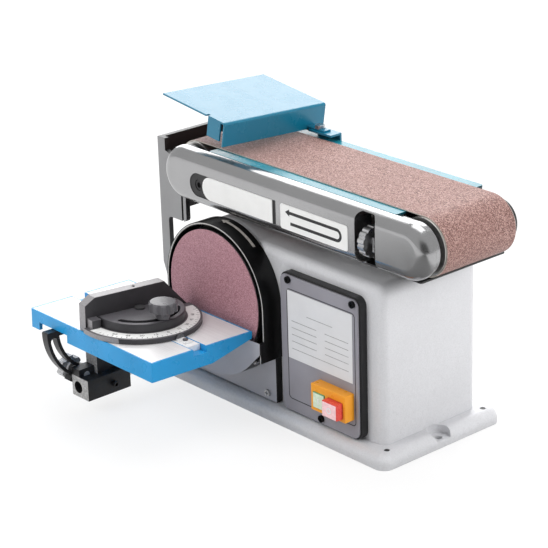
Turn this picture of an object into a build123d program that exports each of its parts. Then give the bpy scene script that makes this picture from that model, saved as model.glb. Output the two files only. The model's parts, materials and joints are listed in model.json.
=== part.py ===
from build123d import *
import os
from math import cos, pi, radians, sin, sqrt, tan

# Bench belt and disc sander, in millimetres. +X runs along the belt to the idler drum, -Y is the front, where
# the disc is, and +Z is up. The origin is on the ground, in the middle of the base.

# Abrasive belt and its drums
belt_width = 100.0
belt_length = 914.0
belt_thickness = 1.0
drum_radius = 31.2
belt_gap = 0.3
drum_overhang = 2.0
drum_rim = 5.0
drum_recess = 18.0
belt_axis_height = 248.0
drum_setback = 44.0
idler_travel = 8.0

# Sanding disc and its housing
disc_radius = 75.0
disc_setback = 118.5
disc_reach = 27.0
disc_plate_thickness = 8.0
paper_thickness = 1.0
disc_hub_radius = 20.0
disc_hub_length = 12.0
disc_room = 5.0
band_thickness = 3.0
band_depth = 26.0
band_top_gap = 5.0
back_plate_thickness = 2.0
panel_depth = 7.0
panel_reach = 6.0
panel_lift = 1.0
panel_drop = 57.0
cover_thickness = 2.0
dish_reach = 16.0
dish_depth = 26.0
dish_rise = 24.5
dish_arc_angle = 45.0

# Base casting
base_length = 400.0
base_width = 180.0
base_drop = 52.0
base_wall = 5.0
base_corner = 14.0
base_edge = 10.0
plinth_height = 17.0
plinth_step = 20.0
plinth_corner = 13.0
plinth_round = 12.0
hump_drop = 39.0
shoulder_height = 100.0
bench_bolt_inset = 9.0
bench_bolt_radius = 4.5
bench_pocket_radius = 13.0
bench_pocket_floor = 8.0
bottom_plate_thickness = 2.0
bottom_plate_rim = 7.0
bottom_plate_lift = 0.8
corner_screw_inset_x = 13.0
corner_screw_inset_y = 17.0
corner_screw_radius = 1.75
corner_screw_head = 3.0

# Drum yoke on the base's left end
yoke_wall = 6.0
yoke_rise = 28.0
yoke_lip = 13.0
yoke_lip_drop = 14.0
yoke_window_drop = 65.0
yoke_window_lift = 10.0
yoke_leg = 14.0
yoke_side_gap = 4.0
yoke_ear_radius = 29.0
yoke_right_reach = 12.0
yoke_groove_reach = 20.0
yoke_groove_width = 3.0
yoke_inner_round = 5.0
yoke_foot_bottom = 40.0
yoke_foot_rise = 2.0
yoke_bend_rise = 24.0
pivot_boss_radius = 21.0
pivot_boss_cap = 5.0
yoke_bolt_y = 45.0
yoke_bolt_heights = (54.0, 84.0)
yoke_bolt_radius = 3.0

# Belt arm
arm_half_width = 80.0
arm_side_gap = 2.0
arm_half_height = 31.0
arm_round = 14.0
rear_plate = 8.0
rear_half_height = 24.5
rear_round = 5.0
ledge_setback = 41.0
platen_thickness = 2.5
platen_gap = 0.3
platen_setback = 35.0
platen_end = 26.0
belt_cover_reach = 185.5
belt_cover_end = 7.5
belt_cover_gap = 1.0
belt_cover_thickness = 2.0
belt_cover_lap = 6.0
slot_setback = 20.0
slot_length = 144.0
slot_height = 27.0
slot_drop = 4.5
slot_depth = 4.0
slot_plate_thickness = 3.5
arrow_space = 8.0
arrow_length = 104.0
arrow_height = 28.0
arrow_drop = 5.0
plate_thickness = 0.4
lock_screw_setback = 15.0
lock_screw_radius = 4.0
lock_head_radius = 6.0

# Belt tracking and tension
notch_reach = 40.5
notch_width = 30.0
notch_radius = 33.0
notch_corner = 10.0
tracking_inset = 12.0
tracking_drop = 4.0
tracking_screw_radius = 4.0
tracking_knob_radius = 17.0
tracking_knob_width = 9.0
tracking_knob_flutes = 14
tracking_flute_radius = 2.2
fork_thickness = 3.0
fork_height = 24.0
fork_inset = 8.0
fork_end = 15.5
axle_radius = 6.0
axle_inset = 8.0
tail_radius = 5.0
spring_room = 36.0
spring_bracket_thickness = 6.0
spring_radius = 9.0
spring_wire = 2.5
lever_setback = 50.0
lever_shaft_radius = 5.0
lever_length = 70.0
lever_width = 16.0
lever_thickness = 8.0
cam_radius = 12.8
cam_offset = 5.85
cam_angle = 60.0
cam_half_width = 8.0

# Work stop on its far-side bracket
stop_setback = 73.0
stop_y = 4.0
stop_rise = 68.0
stop_pitch = 6.7
stop_roll = -3.6
stop_length = 108.0
stop_width = 149.0
stop_face = 27.5
stop_tab = 28.0
stop_tab_gap = 7.0
stop_tab_drop = 23.0
stop_notch = 4.0
stop_sheet = 2.0
stop_bend = 3.0
bracket_length = 37.0
bracket_sheet = 2.5
bracket_drop = 47.0
bracket_lap = 14.0
bracket_screw_inset = 9.0
stop_foot_length = 25.0
stop_foot_lift = 7.0
stop_foot_width = 10.0
stop_screw_radius = 3.0

# Switch box on the front wall
switch_box_width = 124.0
switch_box_inset = 24.0
switch_box_lift = 0.5
switch_box_drop = 16.0
switch_box_corner = 10.0
switch_box_depth = 9.5
switch_panel_thickness = 2.0
switch_panel_inset = 2.0
panel_screw_left_inset = 15.0
panel_screw_right_inset = 9.0
panel_screw_drop = 7.0
panel_screw_shift = 2.0
panel_screw_lift = 8.0
panel_screw_radius = 2.0
panel_screw_head = 4.0
panel_screw_height = 2.5
rating_left_margin = 13.0
rating_right_margin = 10.0
rating_rise = 11.0
rating_drop = 19.0
switch_inset = 9.0
switch_width = 53.5
switch_lift = 23.0
switch_height = 31.0
switch_depth = 13.0
switch_corner = 1.2
switch_edge = 0.8
button_margin = 3.0
button_top_margin = 7.5
button_gap = 0.4
start_width = 20.0
button_travel = 3.0
button_depth = 20.0
start_proud = 1.5
stop_proud = 9.5

# Motor
motor_radius = 59.0
motor_shell = 3.0
motor_front_bell = 15.0
motor_back_room = 13.0
stator_radius = 55.5
stator_front_room = 10.0
stator_back_room = 28.0
rotor_radius = 30.0
air_gap = 0.8
shaft_radius = 6.0
spigot_radius = 30.0
motor_bearing_radius = 16.0
motor_bearing_width = 10.0
motor_screw_circle = 44.0
motor_screw_radius = 2.5

# Belt drive at the back
pulley_width = 16.0
motor_pulley_radius = 13.0
drum_pulley_radius = 27.0
drive_belt_width = 12.0
drive_belt_thickness = 3.0
drive_cover_gap = 2.5
drive_cover_wall = 2.5
drive_cover_room = 9.0
pulley_room = 3.5
drive_cover_space = 12.0
cover_ear_radius = 8.0
cover_ear_depth = 7.5
cover_boss_radius = 7.0
cover_screw_radius = 2.0
cover_screw_inset = 14.0
cover_screw_lift = 8.0
cable_gland_inset = 40.0
cable_gland_lift = 28.0
cable_gland_radius = 8.0
cable_gland_nut = 6.0
cable_gland_nut_rim = 4.0
cable_gland_reach = 14.0
cable_gland_step = 1.0

# Drum shaft and bearings
drum_shaft_radius = 7.5
drum_bearing_radius = 17.5
drum_bearing_width = 11.0

# Work table, its quadrant, sliding block and rod
table_left_reach = 149.0
table_right_reach = 69.5
table_depth = 138.5
table_gap = 5.0
table_drop = 19.0
table_plate = 6.0
table_skirt = 22.0
table_skirt_wall = 4.0
table_skirt_taper_length = 56.0
table_skirt_taper = 14.0
table_corner = 1.5
table_notch_left_room = 23.5
table_notch_right_room = 18.5
mitre_slot_inset = 65.5
mitre_slot_width = 18.0
mitre_slot_depth = 7.0
mitre_channel_wall = 4.0
tilt_inset = 57.5
tilt_drop = 13.0
quadrant_outer = 71.0
quadrant_inner = 55.0
quadrant_reach = 11.5
quadrant_thickness = 10.0
seat_thickness = 6.0
quadrant_start = 181.0
quadrant_end = 256.0
quadrant_web = 6.0
tilt_range = 45.0
table_rest = -2.0
tilt_slot_margin = 4.0
tilt_bolt_angle = 240.0
tilt_bolt_radius = 4.0
tilt_knob_radius = 14.0
tilt_knob_length = 15.0
block_right_reach = 18.5
block_front_reach = 42.0
block_back_reach = 17.0
block_below_rod = 11.8
block_above_rod = 12.7
lug_above_bolt = 8.0
lug_right_reach = 3.0
lug_depth = 21.0
tower_right_reach = 9.0
tower_back_reach = 13.0
tower_top_drop = 25.0
rod_setback = 88.5
rod_drop = 67.7
rod_radius = 7.0
rod_end_inset = 10.0
rod_depth = 29.0
rod_boss_radius = 13.0
clamp_screw_inset = 35.0
clamp_screw_radius = 2.5
clamp_head_radius = 3.5

# Mitre gauge
mitre_setback = 34.0
mitre_rest = -6.0
mitre_bar_left_reach = 65.0
mitre_bar_right_reach = 92.5
mitre_pin_radius = 4.0
mitre_pin_head = 6.0
mitre_stud_radius = 3.0
mitre_stud_reach = 41.0
mitre_rim_radius = 68.5
mitre_rim_thickness = 5.5
mitre_hub_radius = 50.0
mitre_hub_thickness = 10.0
mitre_swing = 60.0
mitre_slot_clearance = 0.5
fence_setback = 6.5
fence_thickness = 13.0
fence_front_reach = 65.5
fence_back_reach = 67.0
fence_height = 37.5
fence_front_edge = 30.0
fence_back_edge = 3.0
fence_top_front_reach = 53.0
fence_top_back_reach = 36.0
fence_hole_radius = 2.0
fence_hole_depth = 9.0
fence_lug_length = 10.0
fence_lug_width = 11.0
scale_margin = 2.5
scale_thickness = 0.4
mitre_knob_radius = 16.0
mitre_knob_stem = 7.5
mitre_knob_rise = 9.0
mitre_knob_height = 19.5
mitre_knob_flutes = 10
mitre_knob_bevel = 2.0
mitre_flute_radius = 3.0

# Clearances
running_gap = 0.05
slide_gap = 0.2
fit_gap = 0.3
lift_gap = 0.5

# Places worked out from the sizes above: base, belt and disc
wall_x = base_length / 2 - plinth_step
wall_y = base_width / 2 - plinth_step
cavity_x = wall_x - base_wall
cavity_y = wall_y - base_wall
bench_bolt_x = base_length / 2 - bench_bolt_inset
corner_screw_x = base_length / 2 - corner_screw_inset_x
corner_screw_y = base_width / 2 - corner_screw_inset_y
base_top = belt_axis_height - base_drop
belt_inner = drum_radius + belt_gap
belt_outer = belt_inner + belt_thickness
drum_distance = (belt_length - 2 * pi * (belt_inner + belt_thickness / 2)) / 2
drum_x = -wall_x + drum_setback
idler_x = drum_x + drum_distance
drum_half = belt_width / 2 + drum_overhang
drum_spot = (drum_x, belt_axis_height)
idler_spot = (idler_x, belt_axis_height)
band_inner = disc_radius + disc_room
band_outer = band_inner + band_thickness
disc_x = -wall_x + disc_setback
disc_height = belt_axis_height - arm_half_height - band_top_gap - band_outer
disc_spot = (disc_x, disc_height)
hump_radius = belt_axis_height - disc_height - hump_drop
disc_face_y = -wall_y - disc_reach
disc_plate_y = disc_face_y + paper_thickness
disc_hub_y = disc_plate_y + disc_plate_thickness
panel_y = -wall_y - panel_depth
panel_half = disc_radius + panel_reach
panel_bottom = plinth_height + panel_lift
panel_top = disc_height - panel_drop
dish_radius = disc_radius + dish_reach
dish_top = panel_top + dish_rise
sheet_back = panel_y - dish_depth + cover_thickness

# Places of the yoke and the arm
cheek_inner = drum_half + yoke_side_gap
cheek_outer = cheek_inner + yoke_wall
yoke_left = -wall_x - yoke_leg - lift_gap
yoke_right = drum_x - yoke_right_reach
yoke_top = belt_axis_height + yoke_rise
yoke_window_top = belt_axis_height - yoke_window_drop
yoke_window_bottom = shoulder_height + yoke_window_lift
yoke_foot_top = shoulder_height + yoke_foot_rise
yoke_bend_height = shoulder_height + yoke_bend_rise
ledge_inner = cheek_inner
arm_inner = cheek_outer + arm_side_gap
rear_face = ledge_inner + rear_plate
rear_cheek_inner = rear_face + arm_side_gap
rear_cheek_outer = rear_cheek_inner + yoke_wall
boss_front = -arm_half_width + pivot_boss_cap
boss_back = rear_cheek_outer
belt_top = belt_axis_height + belt_outer
platen_top = belt_axis_height + belt_inner - platen_gap
platen_bottom = platen_top - platen_thickness
platen_left = drum_x + platen_setback
platen_right = idler_x - platen_end
ledge_start = drum_x + ledge_setback
ledge_half_height = platen_bottom - belt_axis_height
belt_cover_top = belt_axis_height - belt_outer - belt_cover_gap
belt_cover_left = idler_x - belt_cover_reach
belt_cover_right = idler_x + belt_cover_end
belt_cover_half = ledge_inner + belt_cover_lap
slot_left = drum_x + slot_setback
slot_right = slot_left + slot_length
slot_middle = belt_axis_height - slot_drop
arrow_left = slot_right + arrow_space
arrow_right = arrow_left + arrow_length
arrow_middle = belt_axis_height - arrow_drop
lock_screw_x = slot_left + lock_screw_setback
notch_right = idler_x - notch_reach
notch_left = notch_right - notch_width
tracking_y = -arm_half_width + tracking_inset
tracking_height = belt_axis_height - tracking_drop
tracking_knob_left = notch_left + idler_travel + 2 * lift_gap
fork_outer = ledge_inner - fit_gap
fork_inner = fork_outer - fork_thickness
fork_left = notch_right - fork_inset
fork_right = idler_x + fork_end
idler_half = fork_inner - 2 * lift_gap
spring_bracket_x = fork_left - spring_room - spring_bracket_thickness
lever_x = spring_bracket_x - lever_setback
tail_end = lever_x + cam_offset * cos(radians(cam_angle)) + cam_radius + fit_gap
stop_x = drum_x + stop_setback
stop_height = belt_axis_height + stop_rise
bracket_left = stop_x + 2 * lift_gap
bracket_right = bracket_left + bracket_length
bracket_inner = rear_face - bracket_lap
stop_foot_right = stop_x + stop_foot_length

# Places of the switch box, the motor and its drive
switch_box_right = wall_x - switch_box_inset
switch_box_left = switch_box_right - switch_box_width
switch_box_bottom = plinth_height + switch_box_lift
switch_box_top = base_top - switch_box_drop
switch_face_y = -wall_y - switch_box_depth - switch_panel_thickness
switch_right = switch_box_right - switch_inset
switch_left = switch_right - switch_width
switch_bottom = switch_box_bottom + switch_lift
switch_top = switch_bottom + switch_height
rating_left = switch_box_left + rating_left_margin
rating_right = switch_box_right - rating_right_margin
rating_bottom = switch_top + rating_rise
rating_top = switch_box_top - rating_drop
panel_screw_spots = (
    (switch_box_left + panel_screw_left_inset, switch_box_top - panel_screw_drop),
    (switch_box_right - panel_screw_right_inset, switch_box_top - panel_screw_drop),
    ((switch_box_left + switch_box_right) / 2 + panel_screw_shift, switch_box_bottom + panel_screw_lift),
)
button_bottom = switch_bottom + button_margin
button_top = switch_top - button_top_margin
start_left = switch_left + button_margin
start_right = start_left + start_width
stop_left = start_right + button_margin
stop_right = switch_right - button_margin
button_back = switch_face_y + button_depth
motor_front = -cavity_y
shell_front = motor_front + motor_front_bell
motor_back = cavity_y - motor_back_room
stator_front = shell_front + stator_front_room
stator_back = motor_back - stator_back_room
drive_cover_front = max(rear_cheek_outer, wall_y) + drive_cover_gap
pulley_front = drive_cover_front + pulley_room
drive_cover_back = pulley_front + pulley_width + drive_cover_space
drive_dx = drum_x - disc_x
drive_dz = belt_axis_height - disc_height
drive_span = sqrt(drive_dx**2 + drive_dz**2)
along = (drive_dx / drive_span, drive_dz / drive_span)
across = (along[1], -along[0])
cable_gland_spot = (wall_x - cable_gland_inset, plinth_height + cable_gland_lift)

# Places of the table, its support and the mitre gauge
table_top = disc_height - table_drop
table_left = disc_x - table_left_reach
table_right = disc_x + table_right_reach
table_back = disc_face_y - table_gap
table_front = table_back - table_depth
table_under = table_top - table_plate
skirt_bottom = table_top - table_skirt
table_skirt_taper_y = table_back - table_skirt_taper_length
tilt_y = table_front + tilt_inset
tilt_height = table_top - tilt_drop
rod_x = disc_x - rod_setback
rod_height = tilt_height - rod_drop
quadrant_right = rod_x - quadrant_reach
quadrant_left = quadrant_right - quadrant_thickness
table_notch_left = quadrant_left - table_notch_left_room
table_notch_right = quadrant_right + table_notch_right_room
slot_circle = (quadrant_outer + quadrant_inner) / 2
tilt_bolt = (
    tilt_y + slot_circle * cos(radians(tilt_bolt_angle)),
    tilt_height + slot_circle * sin(radians(tilt_bolt_angle)),
)
table_block_right = rod_x + block_right_reach
table_block_front = tilt_y - block_front_reach
table_block_back = tilt_y + block_back_reach
table_block_bottom = rod_height - block_below_rod
table_block_top = rod_height + block_above_rod
table_lug_top = tilt_bolt[1] + lug_above_bolt
table_lug_right = rod_x + lug_right_reach
table_lug_back = table_block_front + lug_depth
rod_front = table_block_front + rod_end_inset
rod_back = -cavity_y + rod_depth
clamp_screw_y = table_block_front + clamp_screw_inset
mitre_slot_y = table_front + mitre_slot_inset
mitre_pivot_x = disc_x - mitre_setback
mitre_bar_left = mitre_pivot_x - mitre_bar_left_reach
mitre_bar_right = mitre_pivot_x + mitre_bar_right_reach
mitre_floor = table_top - mitre_slot_depth
mitre_base = table_top + lift_gap
rim_top = mitre_base + mitre_rim_thickness
hub_top = rim_top + mitre_hub_thickness
fence_face = mitre_pivot_x - fence_setback

LOW = (Align.CENTER, Align.CENTER, Align.MIN)


def save(builder, label):
    """Name a finished piece and write it as its own STEP file."""
    builder.part.label = label
    export_step(builder.part, f"parts/{label}.step")


def at_y(y):
    """Sketch plane at one Y, seen from the front, with local axes X and Z."""
    return Plane.XZ.offset(-y)


def block(x, y, z, mode=Mode.ADD):
    """Box between pairs of X, Y and Z values."""
    with Locations(((x[0] + x[1]) / 2, (y[0] + y[1]) / 2, (z[0] + z[1]) / 2)):
        Box(x[1] - x[0], y[1] - y[0], z[1] - z[0], mode=mode)


def round_x(spots, radius, x, mode=Mode.ADD):
    """Round bars along X at (y, z) spots, between two X values."""
    with Locations(*[Plane((x[0], y, z), x_dir=(0, 1, 0), z_dir=(1, 0, 0)) for y, z in spots]):
        Cylinder(radius, x[1] - x[0], align=LOW, mode=mode)


def round_y(spots, radius, y, mode=Mode.ADD):
    """Round bars along Y at (x, z) spots, between two Y values."""
    with Locations(*[Plane((x, y[1], z), x_dir=(1, 0, 0), z_dir=(0, -1, 0)) for x, z in spots]):
        Cylinder(radius, y[1] - y[0], align=LOW, mode=mode)


def round_z(spots, radius, z, mode=Mode.ADD):
    """Round bars along Z at (x, y) spots, between two Z values."""
    with Locations(*[(x, y, z[0]) for x, y in spots]):
        Cylinder(radius, z[1] - z[0], align=LOW, mode=mode)


def on_circle(spot, radius, angles):
    """Points on a circle about a spot, at angles in degrees."""
    return [(spot[0] + radius * cos(radians(a)), spot[1] + radius * sin(radians(a))) for a in angles]


os.makedirs("parts", exist_ok=True)

# Base casting: outline with a low shoulder, a motor hump and a tall box, hollow and open below
corner_screw_spots = [(sx * corner_screw_x, sy * corner_screw_y) for sx in (-1, 1) for sy in (-1, 1)]
bench_spots = [(-bench_bolt_x, 0), (bench_bolt_x, 0)]
yoke_bolt_spots = [(sy * yoke_bolt_y, z) for sy in (-1, 1) for z in yoke_bolt_heights]
motor_screw_spots = on_circle(disc_spot, motor_screw_circle, (45, 135, 225, 315))
cover_reach = motor_pulley_radius + fit_gap + drive_belt_thickness + drive_cover_room + drive_cover_wall
cover_growth = drum_pulley_radius - motor_pulley_radius
ear_reach = cover_reach + cover_ear_radius - drive_cover_wall
ear_share = 0.35
ear_side = ear_reach + cover_growth * ear_share
cover_screw_spots = [
    (disc_x + side * (panel_half - cover_screw_inset), panel_bottom + cover_screw_lift) for side in (-1, 1)
]
cover_ear_spots = on_circle(disc_spot, ear_reach, (225, 340)) + [
    (
        disc_x + along[0] * drive_span * ear_share + across[0] * ear_side,
        disc_height + along[1] * drive_span * ear_share + across[1] * ear_side,
    )
]


def bottom_outline(gap):
    """Bottom plate's outline, cut back round the bench bolts."""
    plate_x = base_length - 2 * bottom_plate_rim + 2 * gap
    plate_y = base_width - 2 * bottom_plate_rim + 2 * gap
    notch = 2 * (bench_pocket_radius + bottom_plate_rim - gap)
    with BuildSketch() as outline:
        RectangleRounded(plate_x, plate_y, plinth_corner - bottom_plate_rim)
        with Locations(*bench_spots):
            Rectangle(notch, notch, mode=Mode.SUBTRACT)
    return outline.sketch


with BuildPart() as base:
    with BuildSketch(at_y(wall_y)) as base_outline:
        with Locations((0, shoulder_height / 2)):
            Rectangle(2 * wall_x, shoulder_height)
        with Locations(((disc_x + wall_x) / 2, base_top / 2)):
            Rectangle(wall_x - disc_x, base_top)
        with Locations(disc_spot):
            Circle(hump_radius)
        fillet(base_outline.vertices().filter_by(lambda v: v.Y > plinth_height), base_corner)
    extrude(amount=2 * wall_y)
    fillet(base.faces().filter_by(Axis.Y).edges().filter_by(lambda e: e.center().Z > 1), base_edge)
    with BuildSketch():
        RectangleRounded(base_length, base_width, plinth_corner)
    extrude(amount=plinth_height)
    rim = base.edges().filter_by_position(Axis.Z, plinth_height - 0.01, plinth_height + 0.01)
    outer_x = wall_x + plinth_step / 2
    outer_y = wall_y + plinth_step / 2
    fillet(rim.filter_by(lambda e: abs(e.center().X) > outer_x or abs(e.center().Y) > outer_y), plinth_round)
    with BuildSketch(at_y(cavity_y)):
        offset(base_outline.sketch_local, amount=-base_wall, mode=Mode.ADD)
    extrude(amount=2 * cavity_y, mode=Mode.SUBTRACT)
    block((-cavity_x, cavity_x), (-cavity_y, cavity_y), (-1, plinth_height), Mode.SUBTRACT)
    extrude(bottom_outline(fit_gap), amount=bottom_plate_thickness + bottom_plate_lift, mode=Mode.SUBTRACT)
    # Bench bolt pockets and the small corner screws
    round_z(bench_spots, bench_pocket_radius, (bench_pocket_floor, plinth_height + 1), Mode.SUBTRACT)
    round_z(bench_spots, bench_bolt_radius, (-1, plinth_height + 1), Mode.SUBTRACT)
    round_z(corner_screw_spots, corner_screw_radius + running_gap, (-1, plinth_height + 1), Mode.SUBTRACT)
    round_z(
        corner_screw_spots,
        corner_screw_head + fit_gap,
        (plinth_height - 2, plinth_height + 1),
        Mode.SUBTRACT,
    )
    # Rod boss, motor, switch, gland, cover and yoke openings
    round_y([(rod_x, rod_height)], rod_boss_radius, (-cavity_y - 1, rod_back))
    round_y(
        [(rod_x, rod_height)],
        rod_radius + running_gap,
        (-base_width / 2 - 1, rod_back + 1),
        Mode.SUBTRACT,
    )
    round_y([disc_spot], spigot_radius + running_gap, (-wall_y - 1, -cavity_y + 1), Mode.SUBTRACT)
    round_y(motor_screw_spots, motor_screw_radius + running_gap, (-wall_y - 1, -cavity_y + 1), Mode.SUBTRACT)
    block(
        (switch_left + button_margin, switch_right - button_margin),
        (-wall_y - 1, -cavity_y + 1),
        (button_bottom, button_top),
        Mode.SUBTRACT,
    )
    front_screw_spots = [*panel_screw_spots, *cover_screw_spots]
    round_y(front_screw_spots, panel_screw_radius + running_gap, (-wall_y - 1, -cavity_y + 1), Mode.SUBTRACT)
    round_y([disc_spot], 3 * shaft_radius, (cavity_y - 1, wall_y + 1), Mode.SUBTRACT)
    round_y([cable_gland_spot], cable_gland_radius + running_gap, (cavity_y - 1, wall_y + 1), Mode.SUBTRACT)
    round_y(cover_ear_spots, cover_boss_radius, (cavity_y, drive_cover_front))
    round_y(
        cover_ear_spots,
        cover_screw_radius + running_gap,
        (cavity_y - 1, drive_cover_front + 1),
        Mode.SUBTRACT,
    )
    round_x(yoke_bolt_spots, yoke_bolt_radius + running_gap, (-wall_x - 1, -cavity_x + 1), Mode.SUBTRACT)
save(base, "base_casting")

with BuildPart() as bottom_plate:
    with BuildSketch(Plane.XY.offset(bottom_plate_lift)):
        add(bottom_outline(0))
    extrude(amount=bottom_plate_thickness)
    round_z(corner_screw_spots, corner_screw_radius + running_gap, (0, plinth_height), Mode.SUBTRACT)
save(bottom_plate, "bottom_plate")

with BuildPart() as bottom_plate_screws:
    round_z(corner_screw_spots, corner_screw_radius, (bottom_plate_lift, plinth_height - 1))
    round_z(corner_screw_spots, corner_screw_head, (plinth_height - 2, plinth_height - 0.5))
save(bottom_plate_screws, "bottom_plate_screws")

# Drum yoke: two cheeks with ears for the drum shaft, an end wall with a window, and a foot on the base
foot_left = -wall_x - yoke_wall


def cheek_outline():
    """Side view of one cheek: a narrow lip, an ear round the drum axis and a leg down to the foot."""
    lip_right = yoke_left + yoke_lip
    with BuildSketch() as cheek:
        with BuildLine():
            Polyline(
                (yoke_left, yoke_window_top),
                (yoke_left, yoke_top),
                (lip_right, yoke_top),
                (lip_right, belt_axis_height + yoke_lip_drop),
                drum_spot,
                (yoke_right, belt_axis_height - yoke_ear_radius / 2),
                (yoke_right, yoke_window_top),
                close=True,
            )
        make_face()
        with Locations(drum_spot):
            Circle(yoke_ear_radius)
        with BuildLine():
            Polyline(
                (yoke_left, yoke_window_top + yoke_wall),
                (yoke_left, yoke_bend_height),
                (foot_left, yoke_foot_top),
                (foot_left, yoke_foot_bottom),
                (-wall_x, yoke_foot_bottom),
                (-wall_x, yoke_bend_height),
                (yoke_left + yoke_leg, yoke_bend_height),
                (yoke_left + yoke_leg, yoke_window_top + yoke_wall),
                close=True,
            )
        make_face()
        upper = cheek.vertices().filter_by(lambda v: abs(v.Y - yoke_window_top) < 0.01)
        inner = upper.filter_by(lambda v: v.X > yoke_left + 1)
        fillet(inner, yoke_inner_round)
    return cheek.sketch


with BuildPart() as yoke:
    for back in (-cheek_inner, rear_cheek_outer):
        with BuildSketch(at_y(back)):
            add(cheek_outline())
        extrude(amount=yoke_wall)
    with BuildSketch(at_y(rear_cheek_outer)):
        with BuildLine():
            Polyline(
                (yoke_left, yoke_top),
                (yoke_left, yoke_bend_height),
                (foot_left, yoke_foot_top),
                (foot_left, yoke_foot_bottom),
                (-wall_x, yoke_foot_bottom),
                (-wall_x, yoke_foot_top),
                (yoke_left + yoke_wall, yoke_bend_height),
                (yoke_left + yoke_wall, yoke_top),
                close=True,
            )
        make_face()
    extrude(amount=cheek_outer + rear_cheek_outer)
    window_half = cheek_inner - drum_overhang
    block(
        (yoke_left - 1, -wall_x + 1),
        (-window_half, window_half),
        (yoke_window_bottom, yoke_window_top),
        Mode.SUBTRACT,
    )
    # Pivot bosses, which hold the drum's bearings inside and carry the arm outside
    round_y([drum_spot], pivot_boss_radius, (boss_front, -cheek_inner))
    round_y([drum_spot], pivot_boss_radius, (ledge_inner, boss_back))
    round_y(
        [drum_spot],
        drum_bearing_radius,
        (boss_front - 1, boss_front + drum_bearing_width),
        Mode.SUBTRACT,
    )
    round_y([drum_spot], drum_bearing_radius, (boss_back - drum_bearing_width, boss_back + 1), Mode.SUBTRACT)
    round_y([drum_spot], drum_shaft_radius + 3, (boss_front, boss_back), Mode.SUBTRACT)
    round_x(yoke_bolt_spots, yoke_bolt_radius + running_gap, (foot_left - 1, -wall_x + 1), Mode.SUBTRACT)
    # Groove down the front cheek, below the arm
    groove_left = drum_x - yoke_groove_reach
    block(
        (groove_left, groove_left + yoke_groove_width),
        (-cheek_outer - 1, -cheek_outer + yoke_wall / 2),
        (yoke_window_top - 1, belt_axis_height - arm_half_height),
        Mode.SUBTRACT,
    )
save(yoke, "drum_yoke")

with BuildPart() as yoke_bolts:
    round_x(yoke_bolt_spots, yoke_bolt_radius, (foot_left, -cavity_x))
    bolt_faces = [(foot_left - 4, y, z) for y, z in yoke_bolt_spots]
    with Locations(*[Plane(spot, x_dir=(0, 1, 0), z_dir=(1, 0, 0)) for spot in bolt_faces]):
        Cylinder(2 * yoke_bolt_radius, 4, align=LOW)
save(yoke_bolts, "yoke_bolts")

with BuildPart() as drum_bearings:
    round_y([drum_spot], drum_bearing_radius, (boss_front, boss_front + drum_bearing_width))
    round_y([drum_spot], drum_bearing_radius, (boss_back - drum_bearing_width, boss_back))
    round_y([drum_spot], drum_shaft_radius + running_gap, (boss_front - 1, boss_back + 1), Mode.SUBTRACT)
save(drum_bearings, "drum_bearings")

# Disc housing: back plate, an arch of sheet round the upper disc and a shallow box below
def arch(half, bottom):
    """Outline of an arch over the disc, with straight sides down to one height."""
    with BuildSketch() as outline:
        with Locations(disc_spot):
            Circle(half)
        with Locations((disc_x, disc_height - half)):
            Rectangle(2 * half, 2 * half)
        with Locations((disc_x, bottom - half)):
            Rectangle(4 * half, 2 * half, mode=Mode.SUBTRACT)
    return outline.sketch


with BuildPart() as disc_housing:
    band_front = -wall_y - band_depth
    with BuildSketch(at_y(-wall_y)):
        add(arch(band_outer, panel_top))
    extrude(amount=band_depth)
    # The sides reach further forward where they carry the cover's front sheet
    block((disc_x - band_outer, disc_x + band_outer), (sheet_back, band_front), (panel_top, dish_top))
    with BuildSketch(at_y(-wall_y - back_plate_thickness)):
        add(arch(band_inner, panel_top - 1))
    extrude(amount=dish_depth + panel_depth, mode=Mode.SUBTRACT)
    with BuildSketch(at_y(-wall_y)):
        with Locations((disc_x, (panel_bottom + panel_top) / 2)):
            Rectangle(2 * panel_half, panel_top - panel_bottom)
    extrude(amount=panel_depth)
    round_y([disc_spot], band_inner, (band_front - 1, -wall_y - back_plate_thickness), Mode.SUBTRACT)
    round_y([disc_spot], disc_hub_radius + 4, (band_front, -wall_y + 1), Mode.SUBTRACT)
    round_y(motor_screw_spots, motor_screw_radius + running_gap, (band_front, -wall_y + 1), Mode.SUBTRACT)
    round_y(cover_screw_spots, panel_screw_radius + running_gap, (panel_y - 1, -wall_y + 1), Mode.SUBTRACT)
save(disc_housing, "disc_housing")

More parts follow.
